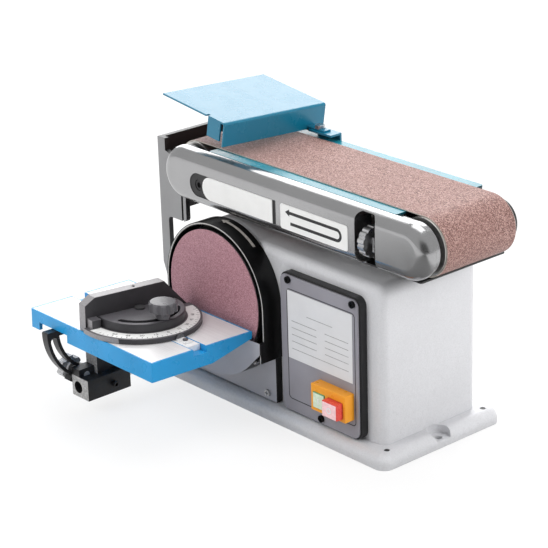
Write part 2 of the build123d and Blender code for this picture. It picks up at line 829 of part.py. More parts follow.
# Lower disc cover: flat panel with a raised dish over the bottom of the disc
arc_x = dish_radius * sin(radians(dish_arc_angle))
arc_z = dish_radius * cos(radians(dish_arc_angle))
dish_shoulder = disc_height - arc_z + (band_outer - arc_x) * tan(radians(dish_arc_angle))
with BuildSketch() as dish:
    with BuildLine():
        Polyline(
            (disc_x + arc_x, disc_height - arc_z),
            (disc_x + band_outer, dish_shoulder),
            (disc_x + band_outer, dish_top),
            (disc_x - band_outer, dish_top),
            (disc_x - band_outer, dish_shoulder),
            (disc_x - arc_x, disc_height - arc_z),
        )
        ThreePointArc(
            (disc_x - arc_x, disc_height - arc_z),
            (disc_x, disc_height - dish_radius),
            (disc_x + arc_x, disc_height - arc_z),
        )
    make_face()
with BuildPart() as disc_cover:
    with BuildSketch(at_y(panel_y)):
        with Locations((disc_x, (panel_bottom + panel_top) / 2)):
            Rectangle(2 * panel_half, panel_top - panel_bottom)
    extrude(amount=cover_thickness)
    with BuildSketch(at_y(panel_y)):
        add(dish.sketch)
    extrude(amount=dish_depth)
    with BuildSketch(at_y(panel_y)):
        offset(dish.sketch, amount=-cover_thickness, mode=Mode.ADD)
    extrude(amount=dish_depth - cover_thickness, mode=Mode.SUBTRACT)
    block(
        (disc_x - band_outer - 1, disc_x + band_outer + 1),
        (sheet_back, panel_y + 1),
        (panel_top, dish_top + 1),
        Mode.SUBTRACT,
    )
    round_y(
        cover_screw_spots,
        panel_screw_radius + running_gap,
        (panel_y - cover_thickness - 1, panel_y + 1),
        Mode.SUBTRACT,
    )
save(disc_cover, "lower_disc_cover")


def front_screws(spots, radius, head, y_tip, y_seat, head_height):
    """Screws from the front with round heads and a cross cut in each head."""
    with BuildPart() as screws:
        round_y(spots, radius, (y_seat, y_tip))
        round_y(spots, head, (y_seat - head_height, y_seat))
        cut = head_height / 2
        for x, z in spots:
            for wide, tall in ((1.4 * head, 0.3 * head), (0.3 * head, 1.4 * head)):
                block(
                    (x - wide / 2, x + wide / 2),
                    (y_seat - head_height - 1, y_seat - cut),
                    (z - tall / 2, z + tall / 2),
                    Mode.SUBTRACT,
                )
    return screws


# Sanding disc on the motor shaft
with BuildPart() as disc_plate:
    round_y([disc_spot], disc_radius, (disc_plate_y, disc_hub_y))
    round_y([disc_spot], disc_hub_radius, (disc_hub_y, disc_hub_y + disc_hub_length))
    fillet(disc_plate.edges().filter_by(GeomType.CIRCLE).sort_by(Axis.Y)[1:2], 1)
    round_y([disc_spot], shaft_radius, (disc_plate_y + 2, 0), Mode.SUBTRACT)
save(disc_plate, "disc_plate")

with BuildPart() as disc_paper:
    round_y([disc_spot], disc_radius, (disc_face_y, disc_plate_y))
save(disc_paper, "disc_paper")

# Switch box, panel, rating plate, switch body and its two buttons
box_x = (switch_box_left + switch_box_right) / 2
box_z = (switch_box_bottom + switch_box_top) / 2
box_w = switch_box_right - switch_box_left
box_h = switch_box_top - switch_box_bottom
opening_x = (switch_left + button_margin, switch_right - button_margin)
with BuildPart() as switch_box:
    with BuildSketch(at_y(-wall_y)):
        with Locations((box_x, box_z)):
            RectangleRounded(box_w, box_h, switch_box_corner)
    extrude(amount=switch_box_depth)
    front = switch_box.faces().sort_by(Axis.Y)[0]
    fillet(front.edges(), switch_panel_inset / 2)
    block(
        opening_x,
        (-wall_y - switch_box_depth - 1, -wall_y + 1),
        (button_bottom, button_top),
        Mode.SUBTRACT,
    )
    round_y(
        panel_screw_spots,
        panel_screw_radius + running_gap,
        (-wall_y - switch_box_depth - 1, 0),
        Mode.SUBTRACT,
    )
save(switch_box, "switch_box")

with BuildPart() as switch_panel:
    with BuildSketch(at_y(-wall_y - switch_box_depth)):
        with Locations((box_x, box_z)):
            RectangleRounded(
                box_w - 2 * switch_panel_inset,
                box_h - 2 * switch_panel_inset,
                switch_box_corner - switch_panel_inset,
            )
    extrude(amount=switch_panel_thickness)
    block(opening_x, (switch_face_y - 1, -wall_y), (button_bottom, button_top), Mode.SUBTRACT)
    round_y(panel_screw_spots, panel_screw_radius + running_gap, (switch_face_y - 1, 0), Mode.SUBTRACT)
save(switch_panel, "switch_panel")

with BuildPart() as cover_screws:
    for spots, seat in ((panel_screw_spots, switch_face_y), (cover_screw_spots, panel_y - cover_thickness)):
        sizes = (panel_screw_radius, panel_screw_head, -cavity_y, seat, panel_screw_height)
        add(front_screws(spots, *sizes).part)
save(cover_screws, "front_cover_screws")

with BuildPart() as rating_plate:
    block(
        (rating_left, rating_right),
        (switch_face_y - plate_thickness, switch_face_y),
        (rating_bottom, rating_top),
    )
save(rating_plate, "rating_plate")

with BuildPart() as switch_body:
    block(
        (switch_left, switch_right),
        (switch_face_y - switch_depth, switch_face_y),
        (switch_bottom, switch_top),
    )
    fillet(switch_body.edges().filter_by(Axis.Y), switch_corner)
    fillet(switch_body.faces().sort_by(Axis.Y)[0].edges(), switch_edge)
    block(
        (opening_x[0] + fit_gap, opening_x[1] - fit_gap),
        (switch_face_y, button_back + switch_panel_thickness),
        (button_bottom + fit_gap, button_top - fit_gap),
    )
    for left, right in ((start_left, start_right), (stop_left, stop_right)):
        block(
            (left + 2 * fit_gap, right - 2 * fit_gap),
            (switch_face_y - switch_depth - 1, button_back),
            (button_bottom + 3 * fit_gap, button_top - 3 * fit_gap),
            Mode.SUBTRACT,
        )
save(switch_body, "switch_body")


def push_button(left, right, proud):
    """Push button that slides in its half of the switch body."""
    gap = button_gap + 2 * fit_gap
    with BuildPart() as button:
        block(
            (left + gap, right - gap),
            (switch_face_y - switch_depth - proud, button_back - button_travel - lift_gap),
            (button_bottom + gap + fit_gap, button_top - gap - fit_gap),
        )
        fillet(button.faces().sort_by(Axis.Y)[0].edges(), 1.5)
    return button


save(push_button(start_left, start_right, start_proud), "start_button")
save(push_button(stop_left, stop_right, stop_proud), "stop_button")

# Motor in the base, with the disc on its front shaft end and a pulley on its back one
with BuildPart() as motor_front_bell_part:
    round_y([disc_spot], motor_radius, (motor_front, shell_front))
    round_y([disc_spot], spigot_radius, (-wall_y, motor_front))
    round_y(
        [disc_spot],
        motor_bearing_radius,
        (shell_front - motor_bearing_width, shell_front + 1),
        Mode.SUBTRACT,
    )
    round_y([disc_spot], shaft_radius + 2, (-wall_y - 1, shell_front), Mode.SUBTRACT)
    round_y(
        motor_screw_spots,
        motor_screw_radius + running_gap,
        (motor_front - 1, shell_front + 1),
        Mode.SUBTRACT,
    )
save(motor_front_bell_part, "motor_front_bell")

back_wall = motor_bearing_width + 2
with BuildPart() as motor_shell_part:
    round_y([disc_spot], motor_radius, (shell_front, motor_back))
    round_y([disc_spot], motor_radius - motor_shell, (shell_front - 1, motor_back - back_wall), Mode.SUBTRACT)
    round_y([disc_spot], motor_bearing_radius, (shell_front, motor_back - 2), Mode.SUBTRACT)
    round_y([disc_spot], shaft_radius + 2, (shell_front, motor_back + 1), Mode.SUBTRACT)
save(motor_shell_part, "motor_shell")

with BuildPart() as stator:
    round_y([disc_spot], motor_radius - motor_shell, (stator_front, stator_back))
    round_y([disc_spot], stator_radius - 6, (stator_front - 6, stator_back + 6))
    round_y([disc_spot], rotor_radius + air_gap, (stator_front - 7, stator_back + 7), Mode.SUBTRACT)
save(stator, "motor_stator")

with BuildPart() as rotor:
    round_y([disc_spot], rotor_radius, (stator_front, stator_back))
    round_y([disc_spot], shaft_radius, (stator_front - 1, stator_back + 1), Mode.SUBTRACT)
save(rotor, "motor_rotor")

with BuildPart() as motor_shaft:
    round_y([disc_spot], shaft_radius, (disc_plate_y + 2, pulley_front + pulley_width))
save(motor_shaft, "motor_shaft")

with BuildPart() as motor_bearings:
    round_y([disc_spot], motor_bearing_radius, (shell_front - motor_bearing_width, shell_front))
    round_y([disc_spot], motor_bearing_radius, (motor_back - back_wall, motor_back - 2))
    round_y(
        [disc_spot],
        shaft_radius + running_gap,
        (shell_front - motor_bearing_width - 1, motor_back),
        Mode.SUBTRACT,
    )
save(motor_bearings, "motor_bearings")

screw_seat = -wall_y - back_plate_thickness
save(
    front_screws(
        motor_screw_spots,
        motor_screw_radius,
        2 * motor_screw_radius,
        shell_front - 2,
        screw_seat,
        3,
    ),
    "motor_mount_screws",
)

with BuildPart() as cable_gland:
    gland_front = cavity_y - cable_gland_nut
    gland_back = wall_y + cable_gland_reach
    round_y([cable_gland_spot], cable_gland_radius, (gland_front, wall_y))
    with BuildSketch(at_y(wall_y)):
        with Locations(cable_gland_spot):
            RegularPolygon(cable_gland_radius + cable_gland_nut_rim, 6)
    extrude(amount=-cable_gland_nut)
    round_y(
        [cable_gland_spot],
        cable_gland_radius + cable_gland_step,
        (wall_y + cable_gland_nut, gland_back),
    )
    round_y([cable_gland_spot], cable_gland_radius / 2, (gland_front - 1, gland_back + 1), Mode.SUBTRACT)
save(cable_gland, "cable_gland")

# Drive drum, turned in one piece with its shaft, and its pulley
with BuildPart() as drive_drum:
    round_y([drum_spot], drum_radius, (-drum_half, drum_half))
    web_half = drum_half - drum_recess
    for ends in ((-drum_half - 1, -web_half), (web_half, drum_half + 1)):
        round_y([drum_spot], drum_radius - drum_rim, ends, Mode.SUBTRACT)
    round_y([drum_spot], 2 * drum_shaft_radius, (-drum_half, drum_half))
    round_y([drum_spot], drum_shaft_radius, (boss_front + 1, pulley_front + pulley_width))
save(drive_drum, "drive_drum")


def pulley(spot, radius, bore):
    """Flanged pulley with a belt groove."""
    flange = (pulley_width - drive_belt_width) / 2 - fit_gap
    with BuildPart() as wheel:
        round_y([spot], radius, (pulley_front, pulley_front + pulley_width))
        round_y([spot], radius + drive_belt_thickness, (pulley_front, pulley_front + flange))
        round_y(
            [spot],
            radius + drive_belt_thickness,
            (pulley_front + pulley_width - flange, pulley_front + pulley_width),
        )
        round_y([spot], bore, (pulley_front - 1, pulley_front + pulley_width + 1), Mode.SUBTRACT)
    return wheel


save(pulley(disc_spot, motor_pulley_radius, shaft_radius), "motor_pulley")
save(pulley(drum_spot, drum_pulley_radius, drum_shaft_radius), "drum_pulley")


def drive_hull(extra):
    """Outline round both pulleys, as a taut loop at some distance from their rims."""
    with BuildSketch() as loop:
        with Locations(disc_spot):
            Circle(motor_pulley_radius + extra)
        with Locations(drum_spot):
            Circle(drum_pulley_radius + extra)
        make_hull()
    return loop.sketch


belt_back = pulley_front + (pulley_width + drive_belt_width) / 2
with BuildPart() as drive_belt:
    with BuildSketch(at_y(belt_back)):
        add(drive_hull(fit_gap + drive_belt_thickness))
        add(drive_hull(fit_gap), mode=Mode.SUBTRACT)
    extrude(amount=drive_belt_width)
save(drive_belt, "drive_belt")

cover_inside = fit_gap + drive_belt_thickness + drive_cover_room
with BuildPart() as drive_cover:
    with BuildSketch(at_y(drive_cover_back)):
        add(drive_hull(cover_inside + drive_cover_wall))
    extrude(amount=drive_cover_back - drive_cover_front)
    fillet(drive_cover.faces().sort_by(Axis.Y)[-1].edges(), 3 * drive_cover_wall)
    with BuildSketch(at_y(drive_cover_back - 2 * drive_cover_wall)):
        add(drive_hull(cover_inside))
    extrude(amount=drive_cover_back - drive_cover_front, mode=Mode.SUBTRACT)
    for ear in cover_ear_spots:
        round_y([ear], cover_ear_radius, (drive_cover_front, drive_cover_front + cover_ear_depth))
    with BuildSketch(at_y(drive_cover_back - 2 * drive_cover_wall)):
        add(drive_hull(cover_inside))
    extrude(amount=drive_cover_back - drive_cover_front, mode=Mode.SUBTRACT)
    round_y(
        cover_ear_spots,
        cover_screw_radius + running_gap,
        (drive_cover_front - 1, drive_cover_back),
        Mode.SUBTRACT,
    )
save(drive_cover, "drive_cover")

ear_back = drive_cover_front + cover_ear_depth
with BuildPart() as drive_cover_screws:
    round_y(cover_ear_spots, cover_screw_radius, (wall_y, ear_back))
    round_y(cover_ear_spots, 2 * cover_screw_radius, (ear_back, ear_back + 2.5))
save(drive_cover_screws, "drive_cover_screws")


# Belt arm: front and rear housings with round ends on the drum axes
def arm_bar(face, back, half_height, corner):
    """Bar along the arm with round ends on both drum axes and a rounded outer face."""
    middle = (face + back) / 2
    depth = abs(back - face)
    with BuildPart() as bar:
        with BuildSketch(Plane.YZ.offset(drum_x)) as section:
            with Locations((middle, belt_axis_height)):
                Rectangle(depth, 2 * half_height)
            fillet(section.vertices().filter_by(lambda v: abs(v.X - face) < 0.01), corner)
        extrude(amount=drum_distance)
        for x in (drum_x, idler_x):
            with BuildSketch(Plane.YZ.offset(x)) as half:
                with Locations((middle, belt_axis_height + half_height / 2)):
                    Rectangle(depth, half_height)
                outer = half.vertices().filter_by(lambda v: abs(v.X - face) < 0.01).sort_by(Axis.Y)[-1]
                fillet(outer, corner)
            revolve(axis=Axis((x, 0, belt_axis_height), (0, 1, 0)))
    return bar.part


def axle_slot(y):
    """Cut the slot in which the idler axle slides to slacken the belt, between two Y values."""
    half = axle_radius + slide_gap
    block(
        (idler_x - idler_travel, idler_x),
        y,
        (belt_axis_height - half, belt_axis_height + half),
        Mode.SUBTRACT,
    )
    round_y([(idler_x - idler_travel - lift_gap, belt_axis_height), idler_spot], half, y, Mode.SUBTRACT)


axle_front = -arm_half_width + axle_inset
axle_back = rear_face - axle_inset / 2
face_y = -arm_half_width
with BuildPart() as notch:
    past_notch = (notch_left - 1, notch_right + 1)
    round_x([(tracking_y, tracking_height)], notch_radius, past_notch)
    block(past_notch, (face_y - 1, 0), (0, tracking_height))
    with BuildSketch(at_y(0)):
        with Locations(((notch_left + notch_right) / 2, tracking_height - notch_radius)):
            RectangleRounded(notch_width, 4 * notch_radius, notch_corner)
    extrude(amount=2 * arm_half_width, mode=Mode.INTERSECT)

with BuildPart() as front_housing:
    add(arm_bar(face_y, -arm_inner, arm_half_height, min(arm_round, 0.9 * (arm_half_width - arm_inner))))
    # Inner ledge, which carries the platen, the fork and the cover below
    ledge_y = (-arm_inner, -ledge_inner)
    ledge_z = (belt_axis_height - ledge_half_height, belt_axis_height + ledge_half_height)
    block((ledge_start, idler_x), ledge_y, ledge_z)
    round_y([idler_spot], ledge_half_height, ledge_y)
    block((belt_cover_left, idler_x), ledge_y, (belt_cover_top, belt_axis_height))
    round_y([drum_spot], pivot_boss_radius + running_gap, (boss_front - 1, 0), Mode.SUBTRACT)
    axle_slot((axle_front - 1, 0))
    # Notch for the tracking knob, with the tracking screw's way to the axle
    add(notch.part, mode=Mode.SUBTRACT)
    round_x(
        [(tracking_y, tracking_height)],
        tracking_screw_radius + 2,
        (notch_right - 1, idler_x),
        Mode.SUBTRACT,
    )
    # Recess for the long plate and the lock screw's seat
    slot_top = slot_middle + slot_height / 2
    slot_bottom = slot_middle - slot_height / 2
    slot_end = (slot_left + slot_height / 2, slot_middle)
    block(
        (slot_end[0], slot_right),
        (face_y - 1, face_y + slot_depth),
        (slot_bottom, slot_top),
        Mode.SUBTRACT,
    )
    round_y([slot_end], slot_height / 2, (face_y - 1, face_y + slot_depth), Mode.SUBTRACT)
    lock_spot = (lock_screw_x, slot_middle)
    round_y([lock_spot], lock_screw_radius + running_gap, (face_y, -arm_inner + 1), Mode.SUBTRACT)
save(front_housing, "arm_front_housing")

bracket_ends = (bracket_left + bracket_screw_inset, bracket_right - bracket_screw_inset)
bracket_screw_spots = [(x, belt_axis_height) for x in bracket_ends]
with BuildPart() as rear_housing:
    add(arm_bar(rear_face, ledge_inner, rear_half_height, rear_round))
    # Ribs along the bar, under the platen and above the cover
    rib_y = (ledge_inner, rear_face - rear_round / 2)
    block((ledge_start, platen_right), rib_y, (belt_axis_height, belt_axis_height + ledge_half_height))
    block((belt_cover_left, platen_right), rib_y, (belt_cover_top, belt_axis_height))
    round_y([drum_spot], pivot_boss_radius + running_gap, (0, rear_face + 1), Mode.SUBTRACT)
    axle_slot((0, axle_back + 1))
    round_y(
        [(lever_x, belt_axis_height)],
        lever_shaft_radius + running_gap,
        (ledge_inner - 1, rear_face + 1),
        Mode.SUBTRACT,
    )
    round_y(bracket_screw_spots, stop_screw_radius + running_gap, (ledge_inner, rear_face + 1), Mode.SUBTRACT)
save(rear_housing, "arm_rear_housing")

with BuildPart() as slot_plate:
    slot_back = face_y + slot_depth
    slot_front = slot_back - slot_plate_thickness
    block(
        (slot_end[0], slot_right - fit_gap),
        (slot_front, slot_back),
        (slot_bottom + fit_gap, slot_top - fit_gap),
    )
    round_y([slot_end], slot_height / 2 - fit_gap, (slot_front, slot_back))
    round_y([lock_spot], lock_head_radius + fit_gap, (slot_front - 1, slot_back + 1), Mode.SUBTRACT)
save(slot_plate, "slot_plate")

with BuildPart() as arrow_plate:
    with BuildSketch(at_y(face_y)):
        with Locations(((arrow_left + arrow_right) / 2, arrow_middle)):
            RectangleRounded(arrow_right - arrow_left, arrow_height, 3)
    extrude(amount=plate_thickness)
save(arrow_plate, "arrow_plate")

with BuildPart() as lock_screw:
    round_y([lock_spot], lock_screw_radius, (slot_back, -arm_inner))
    round_y([lock_spot], lock_head_radius, (slot_front + 0.5, slot_back))
    with BuildSketch(at_y(slot_front + 0.5)):
        with Locations(lock_spot):
            RegularPolygon(0.6 * lock_head_radius, 6)
    extrude(amount=-0.6 * slot_plate_thickness, mode=Mode.SUBTRACT)
save(lock_screw, "arm_lock_screw")

# Platen under the belt's upper run, with the bracket that guides the tension rod
bracket_x = (spring_bracket_x, spring_bracket_x + spring_bracket_thickness)
bracket_half = 2 * spring_radius
tail_spot = (0, belt_axis_height)
with BuildPart() as platen:
    block(
        (platen_left, platen_right),
        (-arm_inner + fit_gap, rear_face - fit_gap),
        (platen_bottom, platen_top),
    )
    fillet(platen.edges().filter_by(Axis.Z), 3)
    block(bracket_x, (-bracket_half, bracket_half), (belt_axis_height - bracket_half, platen_bottom))
    round_x([tail_spot], tail_radius + running_gap, (bracket_x[0] - 1, bracket_x[1] + 1), Mode.SUBTRACT)
save(platen, "platen")

with BuildPart() as belt_cover:
    block(
        (belt_cover_left, belt_cover_right),
        (-belt_cover_half, belt_cover_half),
        (belt_cover_top - belt_cover_thickness, belt_cover_top),
    )
    fillet(belt_cover.edges().filter_by(Axis.Z), 3)
save(belt_cover, "belt_cover")

with BuildPart() as abrasive_belt:
    with BuildSketch(at_y(belt_width / 2)):
        with Locations(((drum_x + idler_x) / 2, belt_axis_height)):
            SlotCenterToCenter(drum_distance, 2 * belt_outer)
            SlotCenterToCenter(drum_distance, 2 * belt_inner, mode=Mode.SUBTRACT)
    extrude(amount=belt_width)
save(abrasive_belt, "abrasive_belt")

# Work stop: bent sheet with a fence face, side tabs and a foot on the far-side bracket
foot_bottom = belt_top + stop_foot_lift
stop_half = stop_width / 2
stop_frame = Plane(Location((stop_x, stop_y, stop_height), (stop_roll, stop_pitch, 0)))
foot_x = (stop_x - stop_sheet - 1, stop_foot_right)
foot_y = (bracket_inner + stop_sheet, bracket_inner + stop_sheet + stop_foot_width)
foot_screw = [((bracket_left + stop_foot_right) / 2, (foot_y[0] + foot_y[1]) / 2)]
with BuildPart() as bent_sheet:
    with BuildSketch(at_y(stop_half)) as fold:
        with Locations((-stop_length / 2, -stop_sheet / 2)):
            Rectangle(stop_length, stop_sheet)
        with Locations((-stop_sheet / 2, -stop_face / 2)):
            Rectangle(stop_sheet, stop_face)
        fillet(fold.vertices().filter_by(lambda v: v.X + v.Y > -0.01), stop_bend)
        fold_spot = Vector(-stop_sheet, -stop_sheet)
        inner_bend = fold.vertices().filter_by(lambda v: (v.center() - fold_spot).length < 0.01)
        fillet(inner_bend, stop_bend - stop_sheet)
    extrude(amount=stop_width)
    for side in (-1, 1):
        tab_y = sorted((side * stop_half, side * (stop_half - stop_sheet)))
        block((-stop_tab, -stop_tab_gap), tab_y, (-stop_tab_drop, 0))
    notch_y = (-stop_half - 1, -stop_half + stop_notch)
    block((-stop_tab - stop_notch, -stop_tab), notch_y, (-stop_sheet - 1, 1), Mode.SUBTRACT)

with BuildPart() as work_stop:
    with Locations(stop_frame):
        add(bent_sheet.part)
    block(foot_x, foot_y, (foot_bottom, foot_bottom + stop_sheet))
    round_z(foot_screw, stop_screw_radius + running_gap, (foot_bottom - 1, foot_bottom + 5), Mode.SUBTRACT)
save(work_stop, "work_stop")

bracket_top = foot_bottom
with BuildPart() as stop_bracket:
    block(
        (bracket_left, bracket_right),
        (bracket_inner, rear_face + bracket_sheet),
        (bracket_top - bracket_sheet, bracket_top),
    )
    block(
        (bracket_left, bracket_right),
        (rear_face, rear_face + bracket_sheet),
        (bracket_top - bracket_drop, bracket_top),
    )
    round_z(foot_screw, stop_screw_radius + running_gap, (bracket_top - 5, bracket_top + 1), Mode.SUBTRACT)
    round_y(
        bracket_screw_spots,
        stop_screw_radius + running_gap,
        (rear_face - 1, rear_face + 5),
        Mode.SUBTRACT,
    )
save(stop_bracket, "stop_bracket")

bracket_back = rear_face + bracket_sheet
with BuildPart() as stop_screws:
    round_y(bracket_screw_spots, stop_screw_radius, (ledge_inner + 1, bracket_back))
    round_z(foot_screw, stop_screw_radius, (bracket_top - bracket_sheet, foot_bottom + stop_sheet))
    with BuildSketch(at_y(bracket_back)):
        with Locations(*bracket_screw_spots):
            RegularPolygon(2 * stop_screw_radius, 6)
    extrude(amount=-4)
    with BuildSketch(Plane.XY.offset(foot_bottom + stop_sheet)):
        with Locations(*foot_screw):
            RegularPolygon(2 * stop_screw_radius, 6)
    extrude(amount=4)
save(stop_screws, "stop_screws")

# Idler fork, axle and drum, and the tracking knob that steers the axle's front end
fork_z = (belt_axis_height - fork_height / 2, belt_axis_height + fork_height / 2)
lug_y = (tracking_y - 2 * tracking_screw_radius, -fork_inner)
with BuildPart() as idler_fork:
    block((fork_left, fork_left + fork_thickness), (-fork_outer, fork_outer), fork_z)
    for side in (-1, 1):
        arm_y = sorted((side * fork_inner, side * fork_outer))
        block((fork_left, fork_right), arm_y, fork_z)
    block(
        (fork_left, fork_left + fork_thickness),
        lug_y,
        (tracking_height - 2 * tracking_screw_radius, tracking_height + 2 * tracking_screw_radius),
    )
    round_x([tail_spot], tail_radius, (tail_end, fork_left))
    round_y([idler_spot], axle_radius, (-fork_outer - 1, fork_outer + 1), Mode.SUBTRACT)
    round_x(
        [(tracking_y, tracking_height)],
        tracking_screw_radius + running_gap,
        (fork_left - 1, fork_left + fork_thickness + 1),
        Mode.SUBTRACT,
    )
save(idler_fork, "idler_fork")

with BuildPart() as idler_axle:
    round_y([idler_spot], axle_radius, (axle_front, axle_back))
save(idler_axle, "idler_axle")

with BuildPart() as idler_drum:
    round_y([idler_spot], drum_radius, (-idler_half, idler_half))
    round_y(
        [idler_spot],
        motor_bearing_radius,
        (-idler_half - 1, -idler_half + motor_bearing_width),
        Mode.SUBTRACT,
    )
    round_y(
        [idler_spot],
        motor_bearing_radius,
        (idler_half - motor_bearing_width, idler_half + 1),
        Mode.SUBTRACT,
    )
    round_y([idler_spot], 1.5 * axle_radius, (-idler_half, idler_half), Mode.SUBTRACT)
save(idler_drum, "idler_drum")

with BuildPart() as idler_bearings:
    round_y([idler_spot], motor_bearing_radius, (-idler_half, -idler_half + motor_bearing_width))
    round_y([idler_spot], motor_bearing_radius, (idler_half - motor_bearing_width, idler_half))
    round_y([idler_spot], axle_radius + running_gap, (-idler_half - 1, idler_half + 1), Mode.SUBTRACT)
save(idler_bearings, "idler_bearings")

knob_x = (tracking_knob_left, tracking_knob_left + tracking_knob_width)
screw_tip = idler_x - axle_radius - fit_gap
with BuildPart() as tracking_knob:
    round_x([(tracking_y, tracking_height)], tracking_knob_radius, knob_x)
    turns = [360 / tracking_knob_flutes * i for i in range(tracking_knob_flutes)]
    flutes = on_circle((tracking_y, tracking_height), tracking_knob_radius + 1, turns)
    round_x(flutes, tracking_flute_radius, (knob_x[0] - 1, knob_x[1] + 1), Mode.SUBTRACT)
    round_x([(tracking_y, tracking_height)], tracking_screw_radius, (knob_x[0], screw_tip))
save(tracking_knob, "tracking_knob")

with BuildPart() as tension_spring:
    spring_x = (bracket_x[1], fork_left)
    round_x([tail_spot], spring_radius, spring_x)
    round_x([tail_spot], spring_radius - spring_wire, (spring_x[0] - 1, spring_x[1] + 1), Mode.SUBTRACT)
save(tension_spring, "tension_spring")

# Tension lever on the far side, with the cam that pushes the tail of the fork
lever_spot = (lever_x, belt_axis_height)
lever_front = max(rear_face, wall_y) + lift_gap
lever_back = lever_front + lever_thickness
cam_spot = on_circle(lever_spot, cam_offset, (cam_angle,))
with BuildPart() as tension_lever:
    round_y([lever_spot], lever_shaft_radius, (-cam_half_width, lever_back))
    round_y(cam_spot, cam_radius, (-cam_half_width, cam_half_width))
    with BuildSketch(at_y(lever_back)):
        with Locations((lever_x - lever_length / 2, belt_axis_height)):
            SlotCenterToCenter(lever_length, lever_width)
    extrude(amount=lever_thickness)
    round_y([lever_spot], 0.7 * lever_width, (rear_face + lift_gap, lever_back + 2))
    round_y([(lever_x - lever_length, belt_axis_height)], 0.6 * lever_width, (lever_front, lever_back + 6))
save(tension_lever, "tension_lever")

# Table support: rod in the base, sliding block with its clamp screw, quadrant and tilt knob
rod_spot = (rod_x, rod_height)
with BuildPart() as support_rod:
    round_y([rod_spot], rod_radius, (rod_front, rod_back))
    chamfer(support_rod.edges().filter_by(GeomType.CIRCLE), 1)
save(support_rod, "support_rod")

tilt_centre = (tilt_y, tilt_height)


def sector(start, end, reach):
    """Pie slice about the tilt axis, in Y and Z, between two angles."""
    corners = on_circle(tilt_centre, reach, (start, (start + end) / 2, end))
    with BuildSketch() as slice_:
        with BuildLine():
            Polyline(tilt_centre, *corners, close=True)
        make_face()
    return slice_.sketch


def set_table(builder):
    """Turn a piece about the tilt axis to the angle at which the table is set."""
    builder.part = builder.part.rotate(Axis((0, *tilt_centre), (1, 0, 0)), table_rest)


clamp_spot = [(clamp_screw_y, rod_height)]
seat_inner = quadrant_outer + fit_gap
block_left = quadrant_right + slide_gap
with BuildPart() as table_block:
    block(
        (block_left, table_block_right),
        (table_block_front, table_block_back),
        (table_block_bottom, table_block_top),
    )
    block(
        (block_left, table_lug_right),
        (table_block_front, table_lug_back),
        (table_block_top, table_lug_top),
    )
    block(
        (block_left, rod_x + tower_right_reach),
        (table_lug_back, tilt_y + tower_back_reach),
        (table_block_top, tilt_height - tower_top_drop),
    )
    # Curved seat below the quadrant's rim
    with BuildSketch(Plane.YZ.offset(quadrant_left)):
        with Locations(tilt_centre):
            Circle(seat_inner + seat_thickness)
            Circle(seat_inner, mode=Mode.SUBTRACT)
        add(sector(tilt_bolt_angle - 6, tilt_bolt_angle + 20, 2 * quadrant_outer), mode=Mode.INTERSECT)
    extrude(amount=block_left - quadrant_left)
    round_y(
        [rod_spot],
        rod_radius + running_gap,
        (table_block_front - 1, table_block_back + 1),
        Mode.SUBTRACT,
    )
    round_x(
        [tilt_bolt],
        tilt_bolt_radius + running_gap,
        (quadrant_right - 1, table_lug_right + 1),
        Mode.SUBTRACT,
    )
    round_x(clamp_spot, clamp_screw_radius + running_gap, (rod_x, table_block_right + 1), Mode.SUBTRACT)
save(table_block, "table_block")

with BuildPart() as clamp_screw:
    round_x(clamp_spot, clamp_screw_radius, (rod_x + rod_radius + fit_gap, table_block_right + 1))
    round_x(clamp_spot, clamp_head_radius, (table_block_right + 1, table_block_right + 6))
    with BuildSketch(Plane.YZ.offset(table_block_right + 6)):
        with Locations(*clamp_spot):
            RegularPolygon(0.6 * clamp_head_radius, 6)
    extrude(amount=-3, mode=Mode.SUBTRACT)
save(clamp_screw, "block_clamp_screw")

lug_top = tilt_height - lift_gap
lug_bottom = lug_top - quadrant_web
slot_begin = tilt_bolt_angle - tilt_range - tilt_slot_margin
slot_path = CenterArc(tilt_centre, slot_circle, slot_begin, tilt_range + 2 * tilt_slot_margin)
with BuildPart() as quadrant:
    with BuildSketch(Plane.YZ.offset(quadrant_left)):
        with Locations(tilt_centre):
            Circle(quadrant_outer)
            Circle(quadrant_inner, mode=Mode.SUBTRACT)
        add(sector(quadrant_start, quadrant_end, 2 * quadrant_outer), mode=Mode.INTERSECT)
        web_front = tilt_y - quadrant_outer + 1
        web_back = tilt_y + quadrant_outer / 2
        with Locations(((web_front + web_back) / 2, lug_bottom + quadrant_web / 2)):
            Rectangle(web_back - web_front, quadrant_web)
        SlotArc(slot_path, 2 * (tilt_bolt_radius + slide_gap), mode=Mode.SUBTRACT)
    extrude(amount=quadrant_thickness)
set_table(quadrant)
save(quadrant, "table_quadrant")

with BuildPart() as tilt_knob:
    knob_right = quadrant_left - fit_gap
    knob_left = knob_right - tilt_knob_length
    round_x([tilt_bolt], tilt_knob_radius, (knob_left, knob_right - 4))
    round_x([tilt_bolt], 2 * tilt_bolt_radius, (knob_right - 4, knob_right))
    lobes = on_circle(tilt_bolt, tilt_knob_radius + 3, [60 * i for i in range(6)])
    round_x(lobes, 6, (knob_left - 1, knob_right - 3), Mode.SUBTRACT)
    round_x([tilt_bolt], tilt_bolt_radius, (knob_right - 4, table_lug_right))
save(tilt_knob, "tilt_knob")

